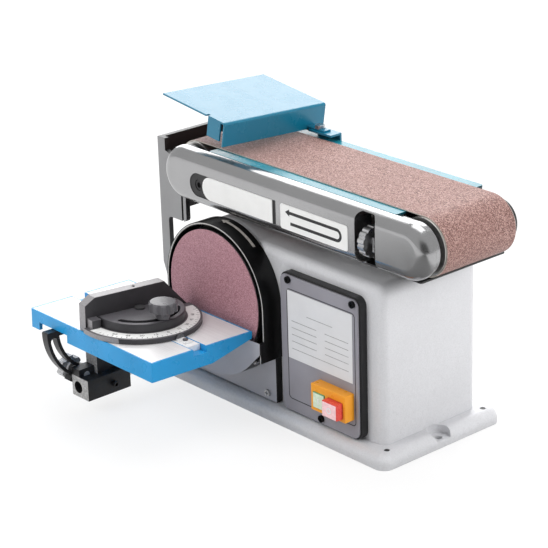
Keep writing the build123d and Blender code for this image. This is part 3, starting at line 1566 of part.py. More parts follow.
# Work table: plate with skirts, a mitre slot in a channel, and a lug for the quadrant
slot_y = (mitre_slot_y - mitre_slot_width / 2, mitre_slot_y + mitre_slot_width / 2)
with BuildPart() as table:
    block((table_left, table_right), (table_front, table_back), (table_under, table_top))
    block((table_left, table_right), (table_front, table_front + table_skirt_wall), (skirt_bottom, table_top))
    for left in (table_left, table_right - table_skirt_wall):
        with BuildSketch(Plane.YZ.offset(left)):
            with BuildLine():
                Polyline(
                    (table_front, table_top),
                    (table_front, skirt_bottom),
                    (table_skirt_taper_y, skirt_bottom),
                    (table_back, skirt_bottom + table_skirt_taper),
                    (table_back, table_top),
                    close=True,
                )
            make_face()
        extrude(amount=table_skirt_wall)
    fillet(
        table.edges().filter_by(Axis.Z).filter_by(lambda e: e.center().Y < table_front + 0.1),
        table_corner,
    )
    channel_y = (slot_y[0] - mitre_channel_wall, slot_y[1] + mitre_channel_wall)
    block((table_left, table_right), channel_y, (mitre_floor - mitre_channel_wall, table_top))
    block(
        (quadrant_right, quadrant_right + quadrant_thickness),
        (tilt_y - quadrant_inner / 2, tilt_y + quadrant_outer / 2),
        (lug_bottom, table_under),
    )
    block((table_left - 1, table_right + 1), slot_y, (mitre_floor, table_top + 1), Mode.SUBTRACT)
    block(
        (table_notch_left, table_notch_right),
        (table_front - 1, table_front + table_skirt_wall),
        (skirt_bottom - 1, tilt_height),
        Mode.SUBTRACT,
    )
set_table(table)
save(table, "work_table")

# Mitre gauge: bar in the table's slot, swivelling head with fence, scale, pointer and clamp knob
bar_top = table_top - slide_gap
stud_x = mitre_pivot_x + mitre_stud_reach
knob_base = hub_top + lift_gap
with BuildPart() as mitre_bar:
    bar_y = (slot_y[0] + slide_gap, slot_y[1] - slide_gap)
    block((mitre_bar_left, mitre_bar_right), bar_y, (mitre_floor + slide_gap, bar_top))
    chamfer(mitre_bar.edges().filter_by(Axis.X).group_by(Axis.Z)[-1], 0.5)
    round_z([(mitre_pivot_x, mitre_slot_y)], mitre_pin_radius, (bar_top, hub_top + lift_gap))
    round_z([(mitre_pivot_x, mitre_slot_y)], mitre_pin_head, (hub_top + lift_gap, hub_top + 4 * lift_gap))
    round_z([(stud_x, mitre_slot_y)], mitre_stud_radius, (bar_top, knob_base + mitre_knob_height / 2))
set_table(mitre_bar)
save(mitre_bar, "mitre_bar")

swing_path = CenterArc((mitre_pivot_x, mitre_slot_y), mitre_stud_reach, -mitre_swing - 2, 2 * mitre_swing + 4)
with BuildPart() as mitre_head:
    for base_z, radius, height in (
        (mitre_base, mitre_rim_radius, mitre_rim_thickness),
        (rim_top, mitre_hub_radius, mitre_hub_thickness),
    ):
        with BuildSketch(Plane.XY.offset(base_z)):
            with Locations((mitre_pivot_x, mitre_slot_y)):
                Circle(radius)
            with Locations((fence_face - radius, mitre_slot_y)):
                Rectangle(2 * radius, 3 * radius, mode=Mode.SUBTRACT)
        extrude(amount=height)
    fillet(mitre_head.faces().sort_by(Axis.Z)[-1].edges(), 1.5)
    with BuildSketch(Plane.YZ.offset(fence_face - fence_thickness)):
        with BuildLine():
            Polyline(
                (mitre_slot_y - fence_front_reach, mitre_base),
                (mitre_slot_y - fence_front_reach, mitre_base + fence_front_edge),
                (mitre_slot_y - fence_top_front_reach, mitre_base + fence_height),
                (mitre_slot_y + fence_top_back_reach, mitre_base + fence_height),
                (mitre_slot_y + fence_back_reach, mitre_base + fence_back_edge),
                (mitre_slot_y + fence_back_reach, mitre_base),
                close=True,
            )
        make_face()
    extrude(amount=fence_thickness)
    # Small lug that ties the rim to the fence's front end
    lug_front = mitre_slot_y - mitre_rim_radius + fence_lug_width / 2
    block(
        (fence_face, fence_face + fence_lug_length),
        (lug_front, lug_front + fence_lug_width),
        (mitre_base, hub_top),
    )
    with BuildSketch(Plane.XY.offset(mitre_base)):
        SlotArc(swing_path, 2 * (mitre_stud_radius + mitre_slot_clearance))
    extrude(amount=fence_height, mode=Mode.SUBTRACT)
    round_z(
        [(mitre_pivot_x, mitre_slot_y)],
        mitre_pin_radius + running_gap,
        (table_top, hub_top + 1),
        Mode.SUBTRACT,
    )
    round_z(
        [(fence_face - fence_thickness / 2, mitre_slot_y)],
        fence_hole_radius,
        (mitre_base + fence_height - fence_hole_depth, mitre_base + fence_height + 1),
        Mode.SUBTRACT,
    )
swivel = Axis((mitre_pivot_x, mitre_slot_y, 0), (0, 0, 1))
mitre_head.part = mitre_head.part.rotate(swivel, mitre_rest)
set_table(mitre_head)
save(mitre_head, "mitre_head")

with BuildPart() as mitre_scale:
    with BuildSketch(Plane.XY.offset(rim_top)):
        with Locations((mitre_pivot_x, mitre_slot_y)):
            Circle(mitre_rim_radius - scale_margin)
            Circle(mitre_hub_radius + scale_margin, mode=Mode.SUBTRACT)
        with Locations((mitre_pivot_x - mitre_rim_radius + mitre_pin_radius, mitre_slot_y)):
            Rectangle(2 * mitre_rim_radius, 3 * mitre_rim_radius, mode=Mode.SUBTRACT)
    extrude(amount=scale_thickness)
mitre_scale.part = mitre_scale.part.rotate(swivel, mitre_rest)
set_table(mitre_scale)
save(mitre_scale, "mitre_scale")

tip_x = mitre_pivot_x + mitre_rim_radius + lift_gap
with BuildPart() as mitre_pointer:
    block((tip_x, mitre_bar_right - 8), (mitre_slot_y - 5, mitre_slot_y + 5), (bar_top, bar_top + 1.5))
    with BuildSketch(Plane.YZ.offset(tip_x)):
        with BuildLine():
            Polyline(
                (mitre_slot_y - 5, bar_top),
                (mitre_slot_y - 5, rim_top - 2),
                (mitre_slot_y, rim_top + 2),
                (mitre_slot_y + 5, rim_top - 2),
                (mitre_slot_y + 5, bar_top),
                close=True,
            )
        make_face()
    extrude(amount=1.5)
    round_z([((tip_x + mitre_bar_right - 4) / 2, mitre_slot_y)], 3, (bar_top, bar_top + 3.5))
set_table(mitre_pointer)
save(mitre_pointer, "mitre_pointer")

knob_top = knob_base + mitre_knob_height
stud_spot = (stud_x, mitre_slot_y)
with BuildPart() as mitre_knob:
    round_z([stud_spot], mitre_knob_stem, (knob_base, knob_top))
    round_z([stud_spot], mitre_knob_radius, (knob_base + mitre_knob_rise, knob_top))
    chamfer(mitre_knob.faces().sort_by(Axis.Z)[-1].edges(), mitre_knob_bevel)
    turns = [360 / mitre_knob_flutes * (i + 0.5) for i in range(mitre_knob_flutes)]
    grips = on_circle(stud_spot, mitre_knob_radius + 1, turns)
    round_z(grips, mitre_flute_radius, (knob_base, knob_top + 1), Mode.SUBTRACT)
    bore_top = knob_base + mitre_knob_height / 2 + lift_gap
    round_z([stud_spot], mitre_stud_radius + running_gap, (knob_base - 1, bore_top), Mode.SUBTRACT)
set_table(mitre_knob)
save(mitre_knob, "mitre_knob")
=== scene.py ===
"""Looks of a bench belt and disc sander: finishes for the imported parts, printed marks and a small studio.

Lengths are metres in the part's frame: origin at the middle of the base's footprint on the bench,
X along the belt to the idler end, -Y towards the disc and the operator, Z up.
"""

import json
import math

import bmesh
import bpy
from mathutils import Matrix, Vector


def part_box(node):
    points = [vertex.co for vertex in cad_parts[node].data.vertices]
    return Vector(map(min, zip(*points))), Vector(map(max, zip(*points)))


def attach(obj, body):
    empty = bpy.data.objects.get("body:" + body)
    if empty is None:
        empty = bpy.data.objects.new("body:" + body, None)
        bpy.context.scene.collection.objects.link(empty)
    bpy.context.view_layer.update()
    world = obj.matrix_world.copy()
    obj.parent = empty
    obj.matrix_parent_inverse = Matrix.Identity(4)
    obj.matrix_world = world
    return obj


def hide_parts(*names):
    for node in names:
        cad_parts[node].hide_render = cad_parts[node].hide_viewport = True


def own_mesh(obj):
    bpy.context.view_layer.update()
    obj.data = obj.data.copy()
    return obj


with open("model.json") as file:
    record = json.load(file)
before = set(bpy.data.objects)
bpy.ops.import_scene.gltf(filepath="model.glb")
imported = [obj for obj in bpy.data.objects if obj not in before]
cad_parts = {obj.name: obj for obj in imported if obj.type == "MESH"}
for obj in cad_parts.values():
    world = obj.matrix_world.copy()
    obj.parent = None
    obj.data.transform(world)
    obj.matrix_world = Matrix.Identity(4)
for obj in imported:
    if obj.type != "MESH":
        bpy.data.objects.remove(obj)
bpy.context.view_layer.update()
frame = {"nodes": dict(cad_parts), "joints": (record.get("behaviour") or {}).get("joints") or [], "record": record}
nodes = frame["nodes"]
joints = {joint["name"]: joint for joint in frame["joints"]}
mm = 0.001

X = Vector((1, 0, 0))
Y = Vector((0, 1, 0))
Z = Vector((0, 0, 1))


def add_node(tree, kind, inputs=(), **settings):
    """One node in a tree, with its settings and its inputs, which are sockets to link or plain values."""
    made = tree.nodes.new(kind)
    for key, value in settings.items():
        setattr(made, key, value)
    for key, value in dict(inputs).items():
        if isinstance(value, bpy.types.NodeSocket):
            tree.links.new(value, made.inputs[key])
        else:
            made.inputs[key].default_value = value
    return made


def rgba(colour):
    """A colour with full alpha. A socket stays as it is."""
    return colour if isinstance(colour, bpy.types.NodeSocket) else (*colour, 1)


def shade(colour, factor):
    """A colour made lighter or darker."""
    return tuple(min(1.0, part * factor) for part in colour)


def world_points(name):
    """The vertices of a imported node, in the part's frame."""
    piece = nodes[name]
    return [piece.matrix_world @ vert.co for vert in piece.data.vertices]


class Finish:
    """A node material with one Principled shader, and short names for the nodes that the finishes share."""

    bevel_samples = 6
    cloud_stops = (0.3, 0.7)

    def __init__(self, name):
        self.material = bpy.data.materials.new(name)
        self.material.use_nodes = True
        self.tree = self.material.node_tree
        self.shader = self.tree.nodes["Principled BSDF"]
        coordinates = self.add("ShaderNodeTexCoord")
        self.place = coordinates.outputs["Object"]
        self.facing = coordinates.outputs["Normal"]

    def add(self, kind, inputs=(), **settings):
        """One node of this material."""
        return add_node(self.tree, kind, inputs, **settings)

    def calculate(self, operation, *values):
        """One step of arithmetic on values or sockets."""
        return self.add("ShaderNodeMath", dict(enumerate(values)), operation=operation).outputs["Value"]

    def times(self, *values):
        """The product of values or sockets."""
        product = values[0]
        for value in values[1:]:
            product = self.calculate("MULTIPLY", product, value)
        return product

    def rest(self, share):
        """What a share leaves of 1."""
        return self.calculate("SUBTRACT", 1.0, share)

    def axes(self, vector):
        """The three parts of a vector."""
        made = self.add("ShaderNodeSeparateXYZ", {"Vector": vector})
        return made.outputs["X"], made.outputs["Y"], made.outputs["Z"]

    def dot(self, vector, direction):
        """How far a vector reaches along a direction."""
        inputs = {0: vector, 1: direction}
        return self.add("ShaderNodeVectorMath", inputs, operation="DOT_PRODUCT").outputs["Value"]

    def stretched(self, scale):
        """The place on the surface with each axis scaled, for grain that runs one way."""
        return self.add("ShaderNodeMapping", {"Vector": self.place, "Scale": scale}).outputs["Vector"]

    def noise(self, size, detail=2.0, rough=0.5, place=None):
        """Cloudy noise from 0 to 1 whose blobs are about that size in metres."""
        inputs = {"Vector": place or self.place, "Scale": 1 / size, "Detail": detail, "Roughness": rough}
        return self.add("ShaderNodeTexNoise", inputs).outputs["Fac"]

    def cell_colour(self, size):
        """A random colour for each cell of about that size."""
        inputs = {"Vector": self.place, "Scale": 1 / size}
        return self.add("ShaderNodeTexVoronoi", inputs).outputs["Color"]

    def ramp(self, value, stops):
        """Colours along a value, as (position, colour) stops."""
        made = self.add("ShaderNodeValToRGB", {"Fac": value})
        elements = made.color_ramp.elements
        while len(elements) < len(stops):
            elements.new(0.5)
        for element, (position, colour) in zip(elements, stops):
            element.position = position
            element.color = rgba(colour)
        return made.outputs["Color"]

    def between(self, value, dark, light):
        """Colour that goes from dark to light over the middle of a cloudy value's range."""
        return self.ramp(value, list(zip(self.cloud_stops, (dark, light))))

    def drifting(self, colour, drift, cloud, detail=4):
        """A colour that turns a little darker and lighter in clouds of about that size."""
        return self.between(self.noise(cloud, detail), shade(colour, 1 - drift), shade(colour, 1 + drift))

    def spread(self, value, low, high, start=0.25, end=0.75):
        """A value moved from the range start to end into the range low to high."""
        inputs = {"Value": value, "From Min": start, "From Max": end, "To Min": low, "To Max": high}
        return self.add("ShaderNodeMapRange", inputs, clamp=True).outputs["Result"]

    def uneven(self, low, high, cloud, detail=3):
        """A value that wanders from low to high in clouds of about that size."""
        return self.spread(self.noise(cloud, detail), low, high)

    def mix(self, share, first, second):
        """Colour that goes from the first to the second as the share goes from 0 to 1."""
        share_in, first_in, second_in, colour_out = 0, 6, 7, 2
        inputs = {share_in: share, first_in: rgba(first), second_in: rgba(second)}
        return self.add("ShaderNodeMix", inputs, data_type="RGBA").outputs[colour_out]

    def along(self, direction):
        """How far the place lies along a direction from the origin."""
        return self.dot(self.place, direction)

    def towards(self, direction, limit):
        """1 where the surface faces that direction, 0 elsewhere. The limit is the cosine between them."""
        return self.calculate("GREATER_THAN", self.dot(self.facing, direction), limit)

    def within(self, axis, low=None, high=None):
        """1 where the place lies between two values along an axis, 0 to 2 for X to Z."""
        value = self.axes(self.place)[axis]
        inside = []
        if low is not None:
            inside.append(self.calculate("GREATER_THAN", value, low))
        if high is not None:
            inside.append(self.calculate("LESS_THAN", value, high))
        return self.times(*inside)

    def bevelled(self, radius):
        """The surface's normal, rounded over the edges by that radius."""
        return self.add("ShaderNodeBevel", {"Radius": radius}, samples=self.bevel_samples).outputs["Normal"]

    def edges(self, radius):
        """1 along sharp edges, within about that radius, and 0 on flat ground."""
        least_bend = 0.02
        full_bend = 0.22
        flat = self.add("ShaderNodeNewGeometry").outputs["Normal"]
        bend = self.rest(self.dot(self.bevelled(radius), flat))
        return self.spread(bend, 0.0, 1.0, least_bend, full_bend)

    def rubbed(self, edge, patch, most, least=0.0, start=0.35, end=0.7):
        """Share that is rubbed bare along edges of that width, in patches of about that size."""
        patches = self.spread(self.noise(patch, detail=4), least, most, start, end)
        return self.times(self.edges(edge), patches)

    def relief(self, height, depth, strength=1.0, corner=0.6 * mm):
        """Bump of that depth, over edges that are rounded by the corner's radius."""
        inputs = {"Height": height, "Distance": depth, "Strength": strength, "Normal": self.bevelled(corner)}
        return self.add("ShaderNodeBump", inputs).outputs["Normal"]

    def peel(self, depth, size=1.6 * mm):
        """The orange peel of sprayed paint."""
        return self.relief(self.noise(size, detail=1), depth)

    def set(self, **inputs):
        """Sets or links the shader's inputs; underscores stand for the spaces in their names."""
        for key, value in inputs.items():
            socket = self.shader.inputs[key.replace("_", " ")]
            if isinstance(value, bpy.types.NodeSocket):
                self.tree.links.new(value, socket)
            elif isinstance(value, tuple):
                socket.default_value = rgba(value)
            else:
                socket.default_value = value
        return self.material


# Finishes that several pieces share
satin_black = (0.012, 0.012, 0.013)
paint_cloud = 50 * mm
gloss_cloud = 20 * mm


def painted(name, colour, roughness, metallic=0.0, drift=0.07, peel=1.6 * mm,
            wear=0.25, bare=(0.45, 0.45, 0.46), coat=0.0):
    """Sprayed paint: colour that drifts a little, orange peel, handled patches, and edges rubbed thin."""
    f = Finish(name)
    worn = f.rubbed(edge=0.9 * mm, patch=6 * mm, most=wear)
    return f.set(
        Base_Color=f.mix(worn, f.drifting(colour, drift, paint_cloud), bare),
        Metallic=metallic,
        Coat_Weight=coat,
        Coat_Roughness=0.15,
        Roughness=f.uneven(roughness - 0.05, roughness + 0.07, gloss_cloud),
        Normal=f.peel(0.04 * mm, peel),
    )


def moulded(name, colour, roughness, grain=0.5 * mm, depth=0.04 * mm, drift=0.06):
    """Moulded plastic: a fine spark-eroded grain, slight colour drift and paler rubbed edges."""
    wear = 0.25
    paler = 2.2
    f = Finish(name)
    worn = f.times(f.edges(0.7 * mm), wear)
    return f.set(
        Base_Color=f.mix(worn, f.drifting(colour, drift, 30 * mm, detail=3), shade(colour, paler)),
        Roughness=f.uneven(roughness - 0.05, roughness + 0.06, 15 * mm),
        Normal=f.relief(f.noise(grain), depth),
    )


def turned(name, colour, roughness, stretch):
    """Bare metal with fine tool marks, drawn out along the axes that have less stretch than the others."""
    f = Finish(name)
    marks = f.noise(1.0, detail=3, rough=0.7, place=f.stretched(stretch))
    return f.set(
        Base_Color=f.between(f.noise(12 * mm, detail=3), shade(colour, 0.86), shade(colour, 1.06)),
        Metallic=1.0,
        Roughness=f.spread(marks, roughness - 0.08, roughness + 0.14),
        Normal=f.relief(marks, 0.012 * mm, corner=0.4 * mm),
    )


def hammered(name, colour, roughness):
    """Hammer-finish silver paint on a casting: a soft, broken pattern of dimples, darker in their middles."""
    warp_scale = 160.0
    dimple_scale = 130.0
    dimple_blur = 0.8
    dimple_depth = 0.35 * mm
    shift = 2.2 * mm
    f = Finish(name)
    warp = f.add("ShaderNodeTexNoise", {"Vector": f.place, "Scale": warp_scale}).outputs["Color"]
    inputs = {0: f.place, 1: warp, 2: (shift, shift, shift)}
    pulled = f.add("ShaderNodeVectorMath", inputs, operation="MULTIPLY_ADD").outputs["Vector"]
    warped = f.add("ShaderNodeVectorMath", {0: f.place, 1: pulled}, operation="ADD").outputs["Vector"]
    inputs = {"Vector": warped, "Scale": dimple_scale, "Smoothness": dimple_blur}
    dimples = f.add("ShaderNodeTexVoronoi", inputs, feature="SMOOTH_F1").outputs["Distance"]
    inner, outer = 0.1, 0.6
    tone = f.ramp(dimples, [(inner, shade(colour, 0.93)), (outer, shade(colour, 1.05))])
    clouded = f.mix(f.uneven(0.0, 0.35, 70 * mm), tone, shade(colour, 0.88))
    worn = f.rubbed(edge=1.2 * mm, patch=5 * mm, most=0.3, start=0.4)
    return f.set(
        Base_Color=f.mix(worn, clouded, (0.55, 0.55, 0.56)),
        Metallic=0.15,
        Roughness=f.spread(dimples, roughness - 0.04, roughness + 0.1, inner, outer),
        Normal=f.relief(dimples, dimple_depth, strength=0.8, corner=1.2 * mm),
    )


def gritted(name, dark, middle, light, grain, roughness, gloss, depth, strength, backing=None):
    """Coated abrasive: packed grains of mixed colour and height, with cloth along the edges if given."""
    coarse_share = 0.6
    fine_share = 0.4
    f = Finish(name)
    coarse = f.axes(f.cell_colour(grain))[0]
    fine = f.noise(0.7 * grain, rough=0.7)
    grains = f.calculate("ADD", f.times(coarse, coarse_share), f.times(fine, fine_share))
    packed = f.ramp(grains, [(0.22, dark), (0.5, middle), (0.78, light)])
    colour = f.mix(f.uneven(0.0, 0.3, 45 * mm), packed, middle)
    if backing:
        sideways = f.calculate("GREATER_THAN", f.calculate("ABSOLUTE", f.axes(f.facing)[1]), 0.75)
        cloth = f.between(f.noise(0.6 * mm), shade(backing, 0.8), backing)
        colour = f.mix(sideways, colour, cloth)
    return f.set(
        Base_Color=colour,
        Roughness=roughness,
        Specular_IOR_Level=gloss,
        Normal=f.relief(grains, depth, strength),
    )


def plate_finish(name, colour):
    """A printed plate or label: nearly even, with a faint cloud, tiny dents and a soft sheen."""
    f = Finish(name)
    return f.set(
        Base_Color=f.between(f.noise(20 * mm, detail=4), shade(colour, 0.95), colour),
        Roughness=f.uneven(0.28, 0.42, 6 * mm),
        Normal=f.relief(f.noise(2.5 * mm), 0.03 * mm, corner=0.3 * mm),
    )


def ink_finish(name, colour):
    """Printing ink: dense, slightly uneven, a little shiny."""
    f = Finish(name)
    return f.set(
        Base_Color=f.drifting(colour, 0.3, 2 * mm, detail=3),
        Roughness=f.uneven(0.35, 0.5, 4 * mm, detail=2),
        Normal=f.relief(f.noise(0.8 * mm), 0.01 * mm, corner=0.1 * mm),
    )


def button_finish(name, colour, lit_front):
    """Push button: coloured plastic, painted paler on the front face as painted light and sheen."""
    f = Finish(name)
    side = f.drifting(colour, 0.05, 10 * mm, detail=3)
    # Paler copy of the colour for the front face: painted light and sheen
    face = f.drifting(lit_front, 0.04, 6 * mm, detail=3)
    return f.set(
        Base_Color=f.mix(f.towards(-Y, 0.8), side, face),
        Roughness=f.uneven(0.22, 0.32, 6 * mm),
        Normal=f.relief(f.noise(0.8 * mm), 0.01 * mm),
    )


# Finishes of one piece, with places that come from the frame
def table_finish():
    """Work table: ground metal on top inside a painted rim, glossy blue paint on rim, slot and skirts."""
    low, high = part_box("work_table")
    bar_low, bar_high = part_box("mitre_bar")
    rim = 2.4 * mm
    slot_gap = 1 * mm
    blue = (0.014, 0.29, 0.62)
    rubbed_blue = (0.35, 0.60, 0.80)
    f = Finish("table_ground_and_blue")
    top = f.towards(Z, 0.9)
    for axis in (0, 1):
        top = f.times(top, f.within(axis, low[axis] + rim, high[axis] - rim))
    slot = f.within(1, bar_low.y - slot_gap, bar_high.y + slot_gap)
    top = f.times(top, f.rest(slot))
    marks = f.noise(1.0, detail=4, rough=0.7, place=f.stretched((6, 900, 900)))
    ground = f.between(marks, (0.72, 0.71, 0.72), (0.87, 0.86, 0.87))
    worn = f.rubbed(edge=0.9 * mm, patch=6 * mm, most=0.2, start=0.4)
    paint = f.mix(worn, f.drifting(blue, 0.08, paint_cloud), rubbed_blue)
    metal_rough = f.times(top, f.spread(marks, 0.34, 0.5))
    paint_rough = f.times(f.rest(top), f.uneven(0.24, 0.34, gloss_cloud))
    return f.set(
        Base_Color=f.mix(top, paint, ground),
        Metallic=f.times(top, 0.25),
        Roughness=f.calculate("ADD", metal_rough, paint_rough),
        Normal=f.peel(0.03 * mm),
    )


def yoke_finish():
    """Drum yoke: metallic grey outside, black inside between the cheeks."""
    low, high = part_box("drum_yoke")
    grey = (0.30, 0.30, 0.305)
    skin = 4.0 * mm
    end_depth = 30 * mm
    limit = 0.2
    cheek_front = min(point.y for point in world_points("drum_yoke") if point.z > high.z - skin)
    f = Finish("yoke_grey_and_black")
    front = f.times(f.towards(-Y, limit), f.within(1, None, cheek_front + skin))
    rear = f.times(f.towards(Y, limit), f.within(1, high.y - skin))
    left = f.times(f.towards(-X, limit), f.within(0, None, low.x + end_depth))
    outside = f.calculate("MAXIMUM", left, f.calculate("MAXIMUM", front, rear))
    return f.set(
        Base_Color=f.mix(outside, satin_black, f.drifting(grey, 0.07, paint_cloud)),
        Metallic=f.times(outside, 0.55),
        Roughness=f.uneven(0.33, 0.44, gloss_cloud),
        Normal=f.peel(0.05 * mm),
    )


def block_finish():
    """Table block: black paint, with the front faces left as rough bare casting."""
    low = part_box("table_block")[0]
    face_height = 24.5 * mm
    face_depth = 5 * mm
    f = Finish("block_black_and_bare")
    behind = f.within(1, low.y + face_depth)
    below = f.within(2, None, low.z + face_height)
    bare = f.times(f.towards(-Y, 0.9), f.calculate("MAXIMUM", behind, below))
    pits = f.noise(2.2 * mm, detail=5, rough=0.7)
    raw = f.between(pits, (0.22, 0.22, 0.22), (0.62, 0.61, 0.60))
    paint = f.between(f.noise(40 * mm, detail=3), (0.010, 0.010, 0.011), (0.020, 0.020, 0.021))
    return f.set(
        Base_Color=f.mix(bare, paint, raw),
        Metallic=f.times(bare, 0.4),
        Roughness=f.spread(pits, 0.40, 0.58),
        Normal=f.relief(pits, 0.3 * mm, strength=0.7),
    )


def guard_finish():
    """Disc guard: grained black plastic, with a thin pale line painted along the arch's front edge as a highlight.
    """
    low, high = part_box("disc_housing")
    middle = Vector(joints["spindle_spin"]["pos_m"])
    reach = (high.x - low.x) / 2
    # Where the painted highlight runs, as distances from the spindle
    highlight_start = reach - 2.2 * mm
    highlight_end = reach - 0.9 * mm
    f = Finish("guard_black_and_painted_highlight")
    x, _, z = f.axes(f.place)
    arch_z = f.calculate("MAXIMUM", z, middle.z)
    arched = f.add("ShaderNodeCombineXYZ", {"X": x, "Z": arch_z}).outputs["Vector"]
    inputs = {0: arched, 1: (middle.x, 0, middle.z)}
    away = f.add("ShaderNodeVectorMath", inputs, operation="DISTANCE").outputs["Value"]
    past_start = f.calculate("GREATER_THAN", away, highlight_start)
    short_of_end = f.calculate("LESS_THAN", away, highlight_end)
    # A thin pale ring on the arch's front edge: a painted highlight
    line = f.times(past_start, short_of_end, f.towards(-Y, 0.9))
    plastic = f.between(f.noise(30 * mm, detail=3), (0.003, 0.003, 0.0035), (0.005, 0.005, 0.0055))
    # Pale colour of the painted edge highlight
    bare = f.between(f.noise(4 * mm, detail=3), (0.42, 0.41, 0.40), (0.62, 0.61, 0.59))
    return f.set(
        Base_Color=f.mix(line, plastic, bare),
        Roughness=f.uneven(0.26, 0.38, 15 * mm),
        Specular_IOR_Level=0.3,
        Normal=f.relief(f.noise(0.5 * mm), 0.03 * mm),
    )


def cover_finish():
    """Lower disc cover: grey paint on the front faces, black round the flanks and inside."""
    grey = (0.42, 0.42, 0.46)
    rubbed_grey = (0.5, 0.5, 0.5)
    f = Finish("cover_grey_and_black")
    front = f.towards(-Y, 0.5)
    worn = f.rubbed(edge=0.9 * mm, patch=6 * mm, most=0.3)
    paint = f.mix(worn, f.drifting(grey, 0.07, paint_cloud), rubbed_grey)
    return f.set(
        Base_Color=f.mix(front, satin_black, paint),
        Metallic=f.times(front, 0.1),
        Roughness=f.uneven(0.31, 0.43, gloss_cloud),
        Normal=f.peel(0.04 * mm),
    )


def platen_finish():
    """Platen: one blue-green paint, painted light on top, where it shows beside the belt, and painted shade below.
    """
    rubbed_teal = (0.45, 0.70, 0.75)
    f = Finish("platen_teal")
    clouds = f.noise(40 * mm, detail=4)
    # Lit and shaded copies of the one teal paint: painted light on faces that look up, painted shade on the rest
    light = f.between(clouds, (0.012, 0.17, 0.23), (0.018, 0.23, 0.30))
    shaded_side_teal = f.between(clouds, (0.003, 0.045, 0.065), (0.005, 0.070, 0.095))
    worn = f.rubbed(edge=0.8 * mm, patch=5 * mm, most=0.4)
    return f.set(
        Base_Color=f.mix(worn, f.mix(f.towards(Z, 0.7), shaded_side_teal, light), rubbed_teal),
        Roughness=f.uneven(0.20, 0.32, gloss_cloud),
        Normal=f.peel(0.04 * mm),
    )


def screw_finish():
    """Front screws: bright steel on the disc cover, near black in the switch panel."""
    panel_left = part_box("switch_panel")[0].x
    f = Finish("front_screw_steel")
    marks = f.noise(0.8 * mm, detail=3, rough=0.7)
    bright = f.between(marks, (0.50, 0.50, 0.51), (0.68, 0.68, 0.69))
    black = f.between(marks, (0.008, 0.008, 0.008), (0.020, 0.020, 0.021))
    return f.set(
        Base_Color=f.mix(f.within(0, panel_left), bright, black),
        Metallic=0.85,
        Roughness=f.spread(marks, 0.24, 0.40),
        Normal=f.relief(marks, 0.01 * mm, corner=0.4 * mm),
    )


def bar_finish():
    """Mitre bar and pointer: bright plating, with a darker head on the pivot pin."""
    bar_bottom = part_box("mitre_bar")[0].z
    bar_height = 9.0 * mm
    f = Finish("bar_plated_and_pin")
    pin = f.within(2, bar_bottom + bar_height)
    scuffs = f.noise(4 * mm, detail=4, rough=0.6)
    plating = f.between(scuffs, (0.76, 0.76, 0.77), (0.86, 0.86, 0.87))
    steel = f.between(scuffs, (0.10, 0.10, 0.105), (0.16, 0.16, 0.165))
    return f.set(
        Base_Color=f.mix(pin, plating, steel),
        Metallic=f.times(pin, 0.6),
        Roughness=f.spread(scuffs, 0.28, 0.42),
        Normal=f.relief(scuffs, 0.02 * mm, corner=0.5 * mm),
    )


def mitre_finish():
    """Mitre head: dark painted die casting, painted lighter on level faces as painted light from above, with the
    fence's top and front end rubbed to grey metal.
    """
    pivot_y = joints["mitre_swivel"]["pos_m"][1]
    head_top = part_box("mitre_head")[1].z
    top_depth = 12 * mm
    end_reach = 58 * mm
    # Lighter copy of the dark paint for level faces: painted light from above
    lit_top_paint = (0.115, 0.111, 0.122)
    rubbed_metal = (0.30, 0.29, 0.30)
    f = Finish("mitre_dark_cast")
    top = f.times(f.towards(Z, 0.5), f.within(2, head_top - top_depth))
    end = f.times(f.towards(-Y, 0.8), f.within(1, None, pivot_y - end_reach))
    pits = f.noise(1.6 * mm, detail=4, rough=0.6)
    dark = f.between(f.noise(30 * mm, detail=4), (0.036, 0.035, 0.039), (0.056, 0.054, 0.060))
    pale = f.between(pits, (0.24, 0.23, 0.24), (0.36, 0.35, 0.36))
    # Level faces take the lighter copy: painted light from above
    paint = f.mix(f.towards(Z, 0.9), dark, lit_top_paint)
    worn = f.rubbed(edge=1.2 * mm, patch=5 * mm, most=0.6, least=0.15, start=0.3)
    return f.set(
        Base_Color=f.mix(worn, f.mix(f.calculate("MAXIMUM", top, end), paint, pale), rubbed_metal),
        Metallic=0.2,
        Roughness=f.spread(pits, 0.38, 0.52),
        Normal=f.relief(pits, 0.08 * mm, corner=0.9 * mm),
    )


